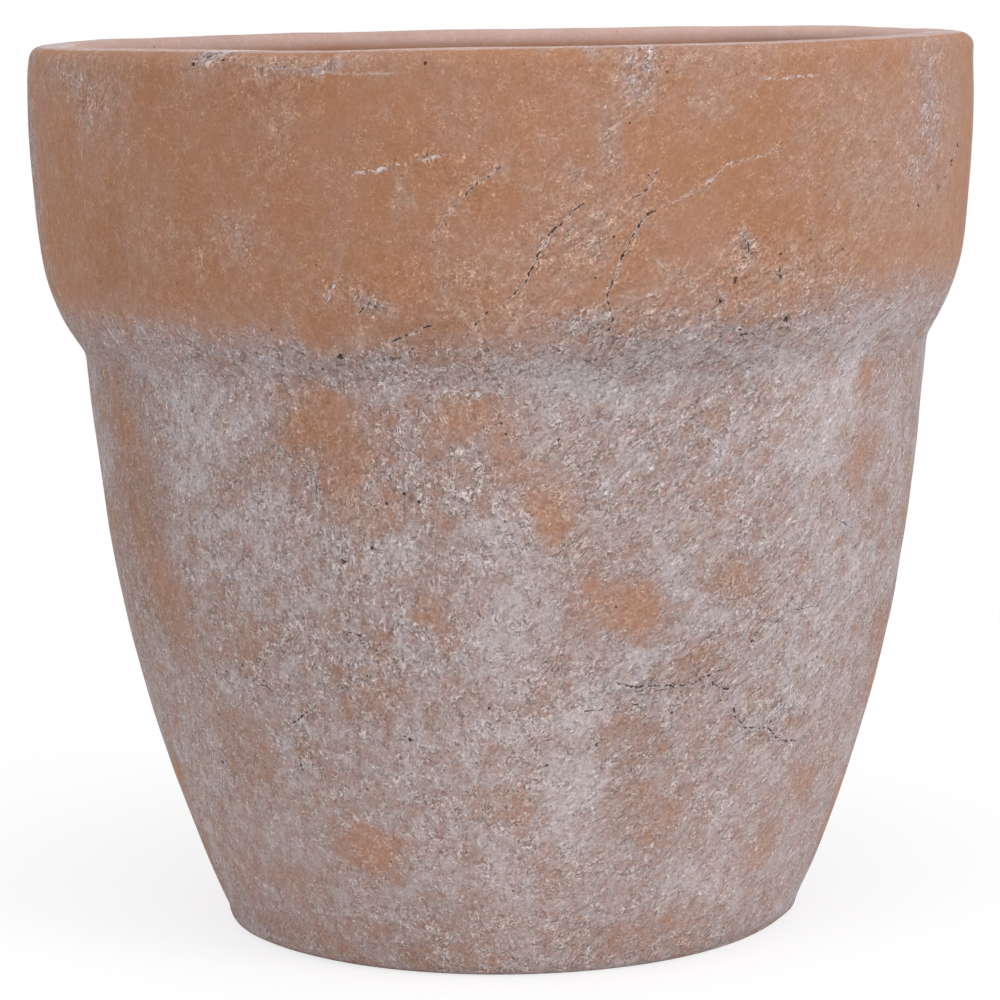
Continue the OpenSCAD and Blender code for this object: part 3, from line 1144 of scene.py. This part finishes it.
@dataclass(frozen=True)
class HandFinish:
    """How the pot departs from a true turned shape, in mm.

    Each ripple has its size and its height.
    """

    RIPPLE_SEED = 17.0
    OFF_THE_GROUND = (-1.0, -0.75)
    bulges: tuple[Bulge, ...] = (
        Bulge(90, 266, 35, 26, 1.1),
        Bulge(-90, 200, 35, 34, -1.15),
        Bulge(90, 100, 35, 60, 0.75),
        Bulge(90, 10, 35, 8, -0.75),
        Bulge(82, 0, 12, 3, 1.8),
        Bulge(55, 0, 16, 4, -3.7),
        Bulge(-68, 0, 28, 5, 2.0),
        Bulge(-85, 6.5, 30, 4, -0.5),
        Bulge(90, 373, 35, 4, 0.5),
        Bulge(95, 380, 40, 3, -0.9),
        Bulge(-90, 372.5, 35, 4, -0.6),
        Bulge(-90, 345, 35, 20, 0.35),
        Bulge(-172, 379, 24, 6, -0.7),
        Bulge(90, 243, 35, 12, 0.5),
        Bulge(90, 190, 35, 40, 0.3),
    )
    ripples: tuple[tuple[float, float], ...] = ((70, 0.5), (26, 0.25), (10, 0.12))
    collar_tilt: float = 2.0
    tilt_sets_in: tuple[float, float] = (225.0, 285.0)
    tilt_fades: tuple[float, float] = (300.0, 325.0)

    def depart(self, skin: Skin) -> np.ndarray:
        """Works out the departure, which is level where the surface faces down and slants the collar's edge.

        Args:
            skin: Points of the true shape.

        Returns:
            How far each point moves, in mm.
        """
        out = np.zeros(len(skin.azimuth))
        for number, (size, height) in enumerate(self.ripples):
            out += height * skin.ripple(size, self.RIPPLE_SEED + number)
        for bulge in self.bulges:
            away = ((skin.azimuth - bulge.azimuth + 180) % 360 - 180) / bulge.wide_deg
            out += bulge.out * np.exp(-(away**2) - ((skin.height - bulge.height) / bulge.tall) ** 2)
        clear_of_ground = smooth_step(skin.outward[:, 2], *self.OFF_THE_GROUND)
        level = skin.place * [1, 1, 0] / skin.radius[:, None]
        way = np.where(skin.outward[:, 2:] < 0, level, skin.outward)
        tilted = smooth_step(skin.height, *self.tilt_sets_in)
        tilted = tilted * (1 - smooth_step(skin.height, *self.tilt_fades))
        lift = self.collar_tilt * np.sin(np.radians(skin.azimuth)) * tilted
        moved = way * (out * clear_of_ground)[:, None] + np.array([0, 0, 1.0]) * lift[:, None]
        return moved * skin.is_outside[:, None]


@dataclass(frozen=True)
class Grain:
    """A cloudy noise: the size of its features in mm, its number of finer layers and how strong they are."""

    size_mm: float
    detail: float = 2.0
    roughness: float = 0.5
    distortion: float = 0.0

    def inputs(self, spot: object) -> list[object]:
        """Inputs of a noise texture at the given place."""
        return [spot, 1 / (self.size_mm * MM), self.detail, self.roughness, 2.0, self.distortion]


@dataclass(frozen=True)
class Ramp:
    """A stretch of a value, from start to stop, over which an effect goes from low to high."""

    start: float
    stop: float
    low: float = 0.0
    high: float = 1.0

    def inputs(self, value: object, low: object = None) -> list[object]:
        """Inputs of a range node for the given value, where another node may set the low end."""
        return [value, self.start, self.stop, self.low if low is None else low, self.high]


@dataclass(frozen=True)
class WashTree:
    """What the steps of the wash share.

    It holds the function that adds a node, the place on the pot, the surface's attributes, the noises, how
    far some of them are above their middle, and the distance to the nearest crack.
    """

    add: Adder
    spot: bpy.types.NodeSocket
    fields: dict[str, bpy.types.NodeSocket]
    noises: dict[str, bpy.types.Node]
    swings: dict[str, bpy.types.Node]
    gap: bpy.types.Node


# Press-moulding leaves a fine, dull grain on the clay. The thinned lime dries to chalky curls and crumbs, so
# nothing shines, and the clay's orange shows wherever the wash is thin. The crumbs and curls are drawn as
# large as the render can show them.
@dataclass(frozen=True)
class LimeWashedTerracotta:
    """Press-moulded terracotta from coarse red clay, fired, washed with thinned lime and left to weather."""

    dull_clay: str = "#a57b66"
    warm_clay: str = "#a57659"
    thin_lime: str = "#a8938a"
    grey_lime: str = "#a09090"
    white_lime: str = "#b3a8a9"
    tinted_chalk: str = "#dfb9a2"
    chalk: str = "#d8cccb"
    # Painted shade in cracks, pits and pinholes
    soot: str = "#2b211e"
    # Grains that break up the coat
    cloud: Grain = Grain(30, 3, 0.6)
    blotch: Grain = Grain(11, 4, 0.62)
    stroke: Grain = Grain(3.7, 2, 0.55)
    crumb: Grain = Grain(1.3, 0.6, 0.5)
    speck: Grain = Grain(0.95, 1, 0.5)
    curl: Grain = Grain(2.3, 1.3, 0.5, 1.2)
    flake: Grain = Grain(8, 2, 0.55, 0.8)
    fray: Grain = Grain(6, 3, 0.7)
    # Brush strokes and curls, drawn out along the height and leaning over on the right
    stroke_stretch: float = 0.7
    leaning_stretch: float = 0.85
    lean_per_metre: float = 5.0
    leaning_side: Ramp = Ramp(-0.03, 0.04)
    # How much of the clay the wash covers
    ragged: tuple[tuple[str, float], ...] = (("blotch", 1.3), ("stroke", 1.1))
    veil: Ramp = Ramp(0.12, 0.2, 0, 0.06)
    cover: Ramp = Ramp(0.08, 0.92)
    # Curls, the grooves beside them and the edges of flakes
    curl_crest: Ramp = Ramp(0.01, 0.05, 1, 0)
    groove_near: Ramp = Ramp(0.05, 0.08)
    groove_far: Ramp = Ramp(0.12, 0.18, 1, 0)
    crack_crowd: Ramp = Ramp(0.5, 3.5, 1.3, 0)
    curl_share: Ramp = Ramp(0.1, 0.5, 0.25, 0.9)
    curl_least: Ramp = Ramp(0.1, 0.5, -0.15, 0.3)
    curl_fray: Ramp = Ramp(0.42, 0.58)
    flake_edge: Ramp = Ramp(0.004, 0.02, 1, 0)
    flake_fray: Ramp = Ramp(0.48, 0.58, 0, 0.4)
    # Colours and tones of the coat
    clay_warmth: Ramp = Ramp(0.2, 0.5)
    warmth_lost: float = 1.2
    whitening: Ramp = Ramp(1.02, 1.4)
    coated: Ramp = Ramp(0.2, 0.45)
    crumb_fray: Ramp = Ramp(0.48, 0.62, 0.15, 0.9)
    crumb_edge: Ramp = Ramp(0.6, 0.67, 0, 0.9)
    curl_chalk: float = 0.95
    unevenness: tuple[tuple[str, float], ...] = (("crumb", 0.75), ("stroke", 0.5))
    groove_shade: float = 0.38
    # Cracks, grit holes and pinholes
    crack_wander: float = 1.6
    crack_lip: Ramp = Ramp(0.3, 0.55, 1, 0)
    lip_chips: Ramp = Ramp(0.47, 0.54, 0.1, 0.95)
    crack_bottom: Ramp = Ramp(-0.12, 0.08, 1, 0)
    pit_wander: float = 4.0
    pit_wall: Ramp = Ramp(-0.15, 0.35)
    pinhole_mm: float = 7.0
    pinhole_size: Ramp = Ramp(0.55, 1, 0, 0.075)
    soot_share: float = 0.85
    # Relief, as shares of relief_mm
    lime_relief: float = 0.4
    crumb_relief: float = 0.5
    curl_relief: float = 0.5
    groove_relief: float = -0.3
    hollow_relief: float = -0.8
    relief_mm: float = 0.4
    # Sheen
    roughness: float = 0.93
    ior: float = 1.5
    specular: float = 0.3

    def build(self) -> bpy.types.Material:
        """Makes the material.

        Returns:
            The material, which reads the pot's coat and crack attributes.
        """
        material = bpy.data.materials.new("lime_washed_terracotta")
        add = empty_tree(material)
        spot = add("TexCoord").outputs["Object"]
        fields = {name: add("Attribute", attribute_name=name).outputs["Fac"] for name in SURFACE_FIELDS}
        noises = self._noises(add, spot)
        broken_by = ("blotch", "stroke", "curl", "flake", "crumb")
        swings = {name: add("Math", [noises[name], NOISE_MIDDLE], operation="SUBTRACT") for name in broken_by}
        gap = add("Math", [fields["rift"]], operation="ABSOLUTE")
        tree = WashTree(add, spot, fields, noises, swings, gap)
        lime = self._lime(tree)
        curl, groove = self._curls(tree, lime)
        colour, hollow = self._hollows(tree, self._coat(tree, lime, curl, groove))
        relief = add("Math", [lime, self.lime_relief], operation="MULTIPLY")
        grit = add("Math", [noises["crumb"], fields["crust"]], operation="MULTIPLY")
        raised = (
            (grit, self.crumb_relief),
            (curl, self.curl_relief),
            (groove, self.groove_relief),
            (hollow, self.hollow_relief),
        )
        for part, height in raised:
            relief = add("Math", [part, height, relief], operation="MULTIPLY_ADD")
        bump = add("Bump", {"Height": relief, "Strength": 1.0, "Distance": self.relief_mm * MM})
        inputs = {
            "Base Color": colour,
            "Roughness": self.roughness,
            "IOR": self.ior,
            "Specular IOR Level": self.specular,
            "Normal": bump,
        }
        add("OutputMaterial", {"Surface": add("BsdfPrincipled", inputs)})
        return material

    def _noises(self, add: Adder, spot: bpy.types.NodeSocket) -> dict[str, bpy.types.Node]:
        """Adds the noises that break up the coat.

        Args:
            add: Adds a node to the material.
            spot: Place on the pot.

        Returns:
            The noises by name. The strokes of the brush lean over on the right half of the pot.
        """
        axes = add("SeparateXYZ", [spot])
        angle = add("Math", [axes.outputs["Z"], -self.lean_per_metre], operation="MULTIPLY")
        twisted = add("VectorRotate", {"Vector": spot, "Angle": angle}, rotation_type="Z_AXIS")
        upright = add("Mapping", {"Vector": spot, "Scale": (1, 1, self.stroke_stretch)})
        leaning = add("Mapping", {"Vector": twisted, "Scale": (1, 1, self.leaning_stretch)})
        to_the_right = add("MapRange", self.leaning_side.inputs(axes.outputs["X"]))
        straight = ("cloud", "blotch", "crumb", "speck", "fray", "flake")
        noises = {name: add("TexNoise", getattr(self, name).inputs(spot)) for name in straight}
        for name in ("stroke", "curl"):
            both = [add("TexNoise", getattr(self, name).inputs(place)) for place in (upright, leaning)]
            noises[name] = add("Mix", [to_the_right, *both])
        return noises

    def _lime(self, tree: WashTree) -> bpy.types.Node:
        """Breaks the coat up into blotches and strokes.

        Args:
            tree: What the steps share.

        Returns:
            How much lime covers the clay, from 0 to 1.
        """
        add, fields = tree.add, tree.fields
        ragged = 0.0
        for name, weight in self.ragged:
            ragged = add("Math", [tree.swings[name], weight, ragged], operation="MULTIPLY_ADD")
        broken = add("Math", [ragged, fields["crust"], fields["lime"]], operation="MULTIPLY_ADD")
        return add("MapRange", self.cover.inputs(broken, add("MapRange", self.veil.inputs(fields["lime"]))))

    def _curls(self, tree: WashTree, lime: bpy.types.Node) -> tuple[bpy.types.Node, bpy.types.Node]:
        """Draws pale curls where a noise crosses its middle, grooves beside them, and the flakes' edges.

        Args:
            tree: What the steps share.
            lime: How much lime covers the clay.

        Returns:
            How much of a curl or edge and how much of a groove each place is, from 0 to 1. The curls crowd
            along chalky cracks.
        """
        add, fields, fray = tree.add, tree.fields, tree.noises["fray"]
        off_curl = add("Math", [tree.swings["curl"]], operation="ABSOLUTE")
        curl = add("MapRange", self.curl_crest.inputs(off_curl))
        groove = add("MapRange", self.groove_near.inputs(tree.swings["curl"]))
        past_groove = add("MapRange", self.groove_far.inputs(tree.swings["curl"]))
        groove = add("Math", [groove, past_groove], operation="MULTIPLY")
        crowd = add("MapRange", self.crack_crowd.inputs(tree.gap))
        crowd = add("Math", [crowd, fields["rift_chalk"]], operation="MULTIPLY")
        share = add("Math", [add("MapRange", self.curl_share.inputs(lime)), crowd])
        least = add("MapRange", self.curl_least.inputs(lime))
        broken = add("MapRange", self.curl_fray.inputs(fray, least))
        amount = add("Math", [share, broken], operation="MULTIPLY", use_clamp=True)
        amount = add("Math", [amount, fields["crust"]], operation="MULTIPLY")
        curl, groove = (add("Math", [part, amount], operation="MULTIPLY") for part in (curl, groove))
        off_edge = add("Math", [tree.swings["flake"]], operation="ABSOLUTE")
        edge = add("MapRange", self.flake_edge.inputs(off_edge))
        for part in (add("MapRange", self.flake_fray.inputs(fray)), fields["crust"]):
            edge = add("Math", [edge, part], operation="MULTIPLY")
        return add("Math", [curl, edge], operation="MAXIMUM"), groove

    def _coat(
        self, tree: WashTree, lime: bpy.types.Node, curl: bpy.types.Node, groove: bpy.types.Node
    ) -> bpy.types.Node:
        """Mixes the colours of clay and lime. Where the wash is thin, the clay tints its lime and its chalk.

        Args:
            tree: What the steps share.
            lime: How much lime covers the clay.
            curl: Where the pale curls are.
            groove: Where the grooves beside them are.

        Returns:
            The colour of the whole surface without its holes.
        """
        add, fields, noises = tree.add, tree.fields, tree.noises
        bare = add("Math", [fields["lime"], -self.warmth_lost, noises["cloud"]], operation="MULTIPLY_ADD")
        warmth = add("MapRange", self.clay_warmth.inputs(bare))
        clay = add("Mix", [warmth, linear(self.dull_clay), linear(self.warm_clay)], data_type="RGBA")
        whiteness = add("MapRange", self.whitening.inputs(add("Math", [noises["blotch"], fields["lime"]])))
        coated = add("MapRange", self.coated.inputs(fields["lime"]))
        grey = add("Mix", [coated, linear(self.thin_lime), linear(self.grey_lime)], data_type="RGBA")
        wash = add("Mix", [whiteness, grey, linear(self.white_lime)], data_type="RGBA")
        colour = add("Mix", [lime, clay, wash], data_type="RGBA")
        crumbs = add("MapRange", self.crumb_edge.inputs(noises["speck"]))
        for part in (add("MapRange", self.crumb_fray.inputs(noises["fray"])), fields["crust"]):
            crumbs = add("Math", [crumbs, part], operation="MULTIPLY")
        pale = add("Math", [curl, self.curl_chalk, crumbs], operation="MULTIPLY_ADD", use_clamp=True)
        chalk = add("Mix", [coated, linear(self.tinted_chalk), linear(self.chalk)], data_type="RGBA")
        colour = add("Mix", [pale, colour, chalk], data_type="RGBA")
        # The grime brings painted shade and painted light into the tone
        tone = add("Math", [1.0, fields["grime"]], operation="SUBTRACT")
        for name, weight in self.unevenness:
            uneven = add("Math", [tree.swings[name], fields["crust"]], operation="MULTIPLY")
            tone = add("Math", [uneven, weight, tone], operation="MULTIPLY_ADD")
        tone = add("Math", [groove, -self.groove_shade, tone], operation="MULTIPLY_ADD")
        return add("VectorMath", {"Vector": colour, "Scale": tone}, operation="SCALE")

    def _hollows(self, tree: WashTree, colour: bpy.types.Node) -> tuple[bpy.types.Node, bpy.types.Node]:
        """Paints shade into cracks, pits and pinholes, and chalks the lips of the cracks.

        Args:
            tree: What the steps share.
            colour: Colour of the whole surface.

        Returns:
            The colour, and how hollow each place is, from 0 to 1.
        """
        add, fields, rough = tree.add, tree.fields, tree.swings["crumb"]
        wander = add("Math", [rough, self.crack_wander, tree.gap], operation="MULTIPLY_ADD")
        reach = add("Math", [wander, fields["rift_width"]], operation="SUBTRACT")
        lip = add("MapRange", self.crack_lip.inputs(reach))
        for part in (fields["rift_chalk"], add("MapRange", self.lip_chips.inputs(tree.noises["curl"]))):
            lip = add("Math", [lip, part], operation="MULTIPLY")
        colour = add("Mix", [lip, colour, linear(self.chalk)], data_type="RGBA")
        bottom = add("MapRange", self.crack_bottom.inputs(reach))
        hollow = add("Math", [bottom, fields["rift_dark"]], operation="MULTIPLY")
        sunk = add("Math", [rough, self.pit_wander, fields["pit"]], operation="MULTIPLY_ADD")
        pit = add("MapRange", self.pit_wall.inputs(sunk))
        cells = add("TexVoronoi", [tree.spot, 1 / (self.pinhole_mm * MM)])
        size = add("MapRange", self.pinhole_size.inputs(add("SeparateColor", [cells.outputs["Color"]])))
        for part in (pit, add("Math", [cells, size], operation="LESS_THAN")):
            hollow = add("Math", [hollow, part], operation="MAXIMUM")
        # Painted shade in cracks, pits and pinholes
        dark = add("Math", [hollow, self.soot_share], operation="MULTIPLY")
        return add("Mix", [dark, colour, linear(self.soot)], data_type="RGBA"), hollow


# Black rubber comes matte out of its mould, and its bloom greys it a little in patches.
@dataclass(frozen=True)
class MouldedRubber:
    """Black natural rubber, moulded."""

    fresh: str = "#242423"
    bloomed: str = "#3a3937"
    bloom: Grain = Grain(9, 4, 0.6)
    bloom_edge: Ramp = Ramp(0.4, 0.65)
    grain: Grain = Grain(0.5, 2, 0.5)
    grain_mm: float = 0.02
    roughness: float = 0.62
    ior: float = 1.52

    def build(self) -> bpy.types.Material:
        """Makes the material.

        Returns:
            The material.
        """
        material = bpy.data.materials.new("moulded_rubber")
        add = empty_tree(material)
        spot = add("TexCoord").outputs["Object"]
        patchy = add("MapRange", self.bloom_edge.inputs(add("TexNoise", self.bloom.inputs(spot))))
        colour = add("Mix", [patchy, linear(self.fresh), linear(self.bloomed)], data_type="RGBA")
        grain = add("TexNoise", self.grain.inputs(spot))
        bump = add("Bump", {"Height": grain, "Distance": self.grain_mm * MM})
        inputs = {"Base Color": colour, "Roughness": self.roughness, "IOR": self.ior, "Normal": bump}
        add("OutputMaterial", {"Surface": add("BsdfPrincipled", inputs)})
        return material


@dataclass
class PotShell:
    """The pot: body, collar, rim, floor and foot in one piece."""

    profile: BellProfile = field(default_factory=BellProfile)
    hand: HandFinish = field(default_factory=HandFinish)
    finish: LimeWashedTerracotta = field(default_factory=LimeWashedTerracotta)

    def build(self) -> bpy.types.Object:
        """Builds the pot's mesh, with its coat and cracks as attributes.

        Returns:
            The pot.
        """
        outline = self.profile.outline()
        copies = [FRONT_CRACKS[number].moved(turn_deg, lift) for number, turn_deg, lift in BACK_CRACKS]
        cracks = DryingCracks(outline, (*FRONT_CRACKS, *copies), PITS)
        net = CellNet(outline)
        corners, faces, spots = net.weave(net.leaves(cracks))
        skin = net.skin(corners[:, 0], corners[:, 1])
        pressed = cracks.press(skin.place)
        fields = {**Weathering(skin).fields(), **pressed}
        fields["pit"] = np.where(skin.is_outside, fields["pit"], cracks.NO_PIT)
        shift = np.where(skin.is_outside, fields.pop("out"), 0)
        place = skin.place + self.hand.depart(skin) + skin.outward * shift[:, None]
        mesh = bpy.data.meshes.new("pot_shell_fired")
        mesh.from_pydata((place * MM).tolist(), [], [face for group in faces for face in group.tolist()])
        for name in SURFACE_FIELDS:
            layer = mesh.attributes.new(name, "FLOAT", "POINT")
            layer.data.foreach_set("value", fields[name].astype(np.float32))
        chart = np.concatenate([net.chart(group).reshape(-1, 2) for group in spots])
        mesh.uv_layers.new(name="OFBake").data.foreach_set("uv", chart.astype(np.float32).ravel())
        mesh.shade_smooth()
        return add_object("pot_shell_fired", mesh)

    def dress(self, pot: bpy.types.Object) -> None:
        """Gives the pot its finish and its place in the frame.

        Args:
            pot: The pot.
        """
        pot.data.materials.append(self.finish.build())
        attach(pot, "pot")
        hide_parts("pot_shell")


@dataclass
class DrainBung:
    """The rubber bung of the drain hole, in millimetres."""

    stem_end_z: float = 4.5
    stem_bevel: float = 1.5
    rib_r: float = 12.44
    rib_h: float = 1.2
    rib_count: int = 3
    rib_crest: float = 1.0
    rib_flank: float = 1.0
    floor_z: float = 24.0
    flange_r: float = 22.0
    flange_t: float = 4.0
    flange_edge: float = 1.2
    waist_r: float = 5.0
    knob_r: float = 8.0
    knob_h: float = 17.0
    segments: int = 128
    finish: MouldedRubber = field(default_factory=MouldedRubber)

    def section(self) -> np.ndarray:
        """Half section from the middle of the free end to the top of the knob, with its corners worn round.

        Returns:
            One row of radius and height for each point.
        """
        stem_r = self.rib_r - self.rib_h
        top = self.floor_z + self.flange_t
        points = [(0, self.stem_end_z), (stem_r - self.stem_bevel, self.stem_end_z)]
        points.append((stem_r, self.stem_end_z + self.stem_bevel))
        pitch = (self.floor_z - self.stem_end_z) / (self.rib_count + 1)
        for number in range(1, self.rib_count + 1):
            middle = self.stem_end_z + number * pitch
            half = self.rib_crest / 2
            for r, dz in ((stem_r, -half - self.rib_flank), (self.rib_r, -half), (self.rib_r, half)):
                points.append((r, middle + dz))
            points.append((stem_r, middle + half + self.rib_flank))
        points += [(stem_r, self.floor_z), (self.flange_r, self.floor_z)]
        points += [(self.flange_r, top - self.flange_edge), (self.flange_r - self.flange_edge, top)]
        points.append((self.waist_r, top))
        knob = np.array([0.0, top + self.knob_h - self.knob_r])
        waist = -math.acos(self.waist_r / self.knob_r)
        points += turn(knob, self.knob_r, waist, math.pi / 2).tolist()
        return rounded(np.array(points))

    def build(self) -> bpy.types.Object:
        """Turns the section round the axis.

        Returns:
            The bung.
        """
        section = self.section() * MM
        angles = np.arange(self.segments) * FULL_TURN / self.segments
        ring = np.stack([np.cos(angles), np.sin(angles)], axis=1)
        inner = section[1:-1]
        flat = inner[:, None, :1] * ring
        heights = np.repeat(inner[:, 1], self.segments)
        sides = np.concatenate([flat.reshape(-1, 2), heights[:, None]], axis=1)
        ends = np.array([[0, 0, section[0, 1]], [0, 0, section[-1, 1]]])
        low, high = len(sides), len(sides) + 1
        column = np.arange(self.segments)
        following = np.roll(column, -1)
        faces = []
        for base in range(0, (len(inner) - 1) * self.segments, self.segments):
            above = base + self.segments
            band = [base + column, base + following, above + following, above + column]
            faces += np.stack(band, axis=1).tolist()
        last = (len(inner) - 1) * self.segments
        faces += [(low, int(b), int(a)) for a, b in zip(column, following)]
        faces += [(high, last + int(a), last + int(b)) for a, b in zip(column, following)]
        mesh = bpy.data.meshes.new("drain_bung_moulded")
        mesh.from_pydata([*sides.tolist(), *ends.tolist()], [], faces)
        mesh.shade_smooth()
        return add_object("drain_bung_moulded", mesh)

    def dress(self, bung: bpy.types.Object) -> None:
        """Gives the bung its finish and its place in the frame.

        Args:
            bung: The bung.
        """
        bung.data.materials.append(self.finish.build())
        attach(bung, "bung")
        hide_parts("drain_bung")


@dataclass(frozen=True)
class Lamp:
    """A soft square lamp that shines on the pot, and the light that it gives there, as a share of full light.

    Places and sizes are in metres.
    """

    name: str
    place: tuple[float, float, float]
    size: float
    share: float
    aim: tuple[float, float, float] = (0.0, 0.0, 0.2)

    def build(self) -> bpy.types.Object:
        """Makes the lamp.

        Returns:
            The lamp.
        """
        way = Vector(self.aim) - Vector(self.place)
        light = bpy.data.lights.new(self.name, "AREA")
        light.size = self.size
        light.energy = self.share * (math.pi * way.length) ** 2
        lamp = add_object(self.name, light)
        lamp.location = self.place
        lamp.rotation_euler = way.to_track_quat("-Z", "Y").to_euler()
        return lamp


@dataclass(frozen=True)
class Viewpoint:
    """The camera, in metres, radians and millimetres of lens, whose roll is what the photograph shows."""

    distance: float = 1.6
    height: float = 0.4135
    turn: float = 0.0019
    pitch: float = 0.1456
    roll: float = -0.0171
    lens: float = 134.38

    def build(self) -> bpy.types.Object:
        """Makes the scene's camera.

        Returns:
            The camera.
        """
        data = bpy.data.cameras.new("viewpoint")
        data.lens = self.lens
        camera = add_object("viewpoint", data)
        tilt = Matrix.Rotation(math.pi / 2 - self.pitch, 4, "X")
        aim = Matrix.Rotation(self.turn, 4, "Z") @ tilt @ Matrix.Rotation(self.roll, 4, "Z")
        camera.matrix_world = Matrix.Translation((0, -self.distance, self.height)) @ aim
        bpy.context.scene.camera = camera
        return camera


@dataclass(frozen=True)
class Studio:
    """A pale floor and soft light all round, with lengths in metres.

    The camera sees the floor and what is behind it as white.
    """

    floor_half: float = 8.0
    floor_grey: str = "#eeecea"
    glow: float = 0.76
    shadow_share: float = 0.3
    shadow_reach: tuple[float, float] = (0.25, 0.8)
    ambient: float = 0.52
    lamps: tuple[Lamp, ...] = (
        Lamp("key", (2.05, -1.55, 0.95), 1.1, 0.4),
        Lamp("fill", (-1.7, -1.5, 0.5), 1.2, 0.16),
        Lamp("overhead", (0.0, -0.4, 2.3), 1.4, 0.4),
    )

    def build(self) -> bpy.types.Object:
        """Makes floor, lamps and surrounding light.

        Returns:
            The floor.
        """
        half = self.floor_half
        mesh = bpy.data.meshes.new("floor")
        corners = [(-half, -half, 0), (half, -half, 0), (half, half, 0), (-half, half, 0)]
        mesh.from_pydata(corners, [], [(0, 1, 2, 3)])
        mesh.materials.append(self._floor_finish())
        floor = add_object("floor", mesh)
        bpy.context.scene.view_settings.view_transform = "Standard"
        for lamp in self.lamps:
            lamp.build()
        self._surroundings()
        return floor

    @staticmethod
    def _seen(add: Adder) -> bpy.types.Node:
        """Tells what the camera sees from the light on the object.

        Args:
            add: Adds a node.

        Returns:
            1 for what the camera sees, straight, mirrored or through glass, and 0 for the rest.
        """
        ways = add("LightPath").outputs
        mirrored = add("Math", [ways["Is Camera Ray"], ways["Is Glossy Ray"]], operation="MAXIMUM")
        return add("Math", [mirrored, ways["Is Transmission Ray"]], operation="MAXIMUM")

    def _floor_finish(self) -> bpy.types.Material:
        """White paper floor that keeps the object's shadow.

        Returns:
            The material.
        """
        material = bpy.data.materials.new("paper_floor")
        add = empty_tree(material)
        plain = add("BsdfDiffuse", {"Color": linear(self.floor_grey)})
        shaded = add("BsdfDiffuse", {"Color": (self.shadow_share,) * 3 + (1,)})
        glow = add("Emission", {"Strength": self.glow})
        near = add("AddShader", [shaded, glow])
        away = add("VectorMath", [add("TexCoord").outputs["Object"]], operation="LENGTH")
        beyond = add("MapRange", [away.outputs["Value"], *self.shadow_reach, 0, 1])
        white = add("MixShader", [beyond, near, add("Emission", {"Strength": 1.0})])
        add("OutputMaterial", {"Surface": add("MixShader", [self._seen(add), plain, white])})
        return material

    def _surroundings(self) -> None:
        """Sets the world: soft light on the object, white where the camera sees it."""
        world = bpy.data.worlds.new("surroundings")
        bpy.context.scene.world = world
        add = empty_tree(world)
        strength = add("MapRange", [self._seen(add), 0, 1, self.ambient, 1])
        add("OutputWorld", {"Surface": add("Background", {"Color": (1, 1, 1, 1), "Strength": strength})})


def main() -> None:
    """Builds camera, pot, bung and studio, in that order."""
    logging.basicConfig(level=logging.INFO, format="%(name)s: %(message)s")
    camera = Viewpoint().build()
    LOG.info("camera %s at %.3f m", camera.name, camera.location.length)
    for maker in (PotShell(), DrainBung()):
        piece = maker.build()
        maker.dress(piece)
        LOG.info("%s: %d vertices, %d faces", piece.name, len(piece.data.vertices), len(piece.data.polygons))
    floor = Studio().build()
    LOG.info("%s: %.0f m wide", floor.name, floor.dimensions.x)


if __name__ == "__main__":
    main()
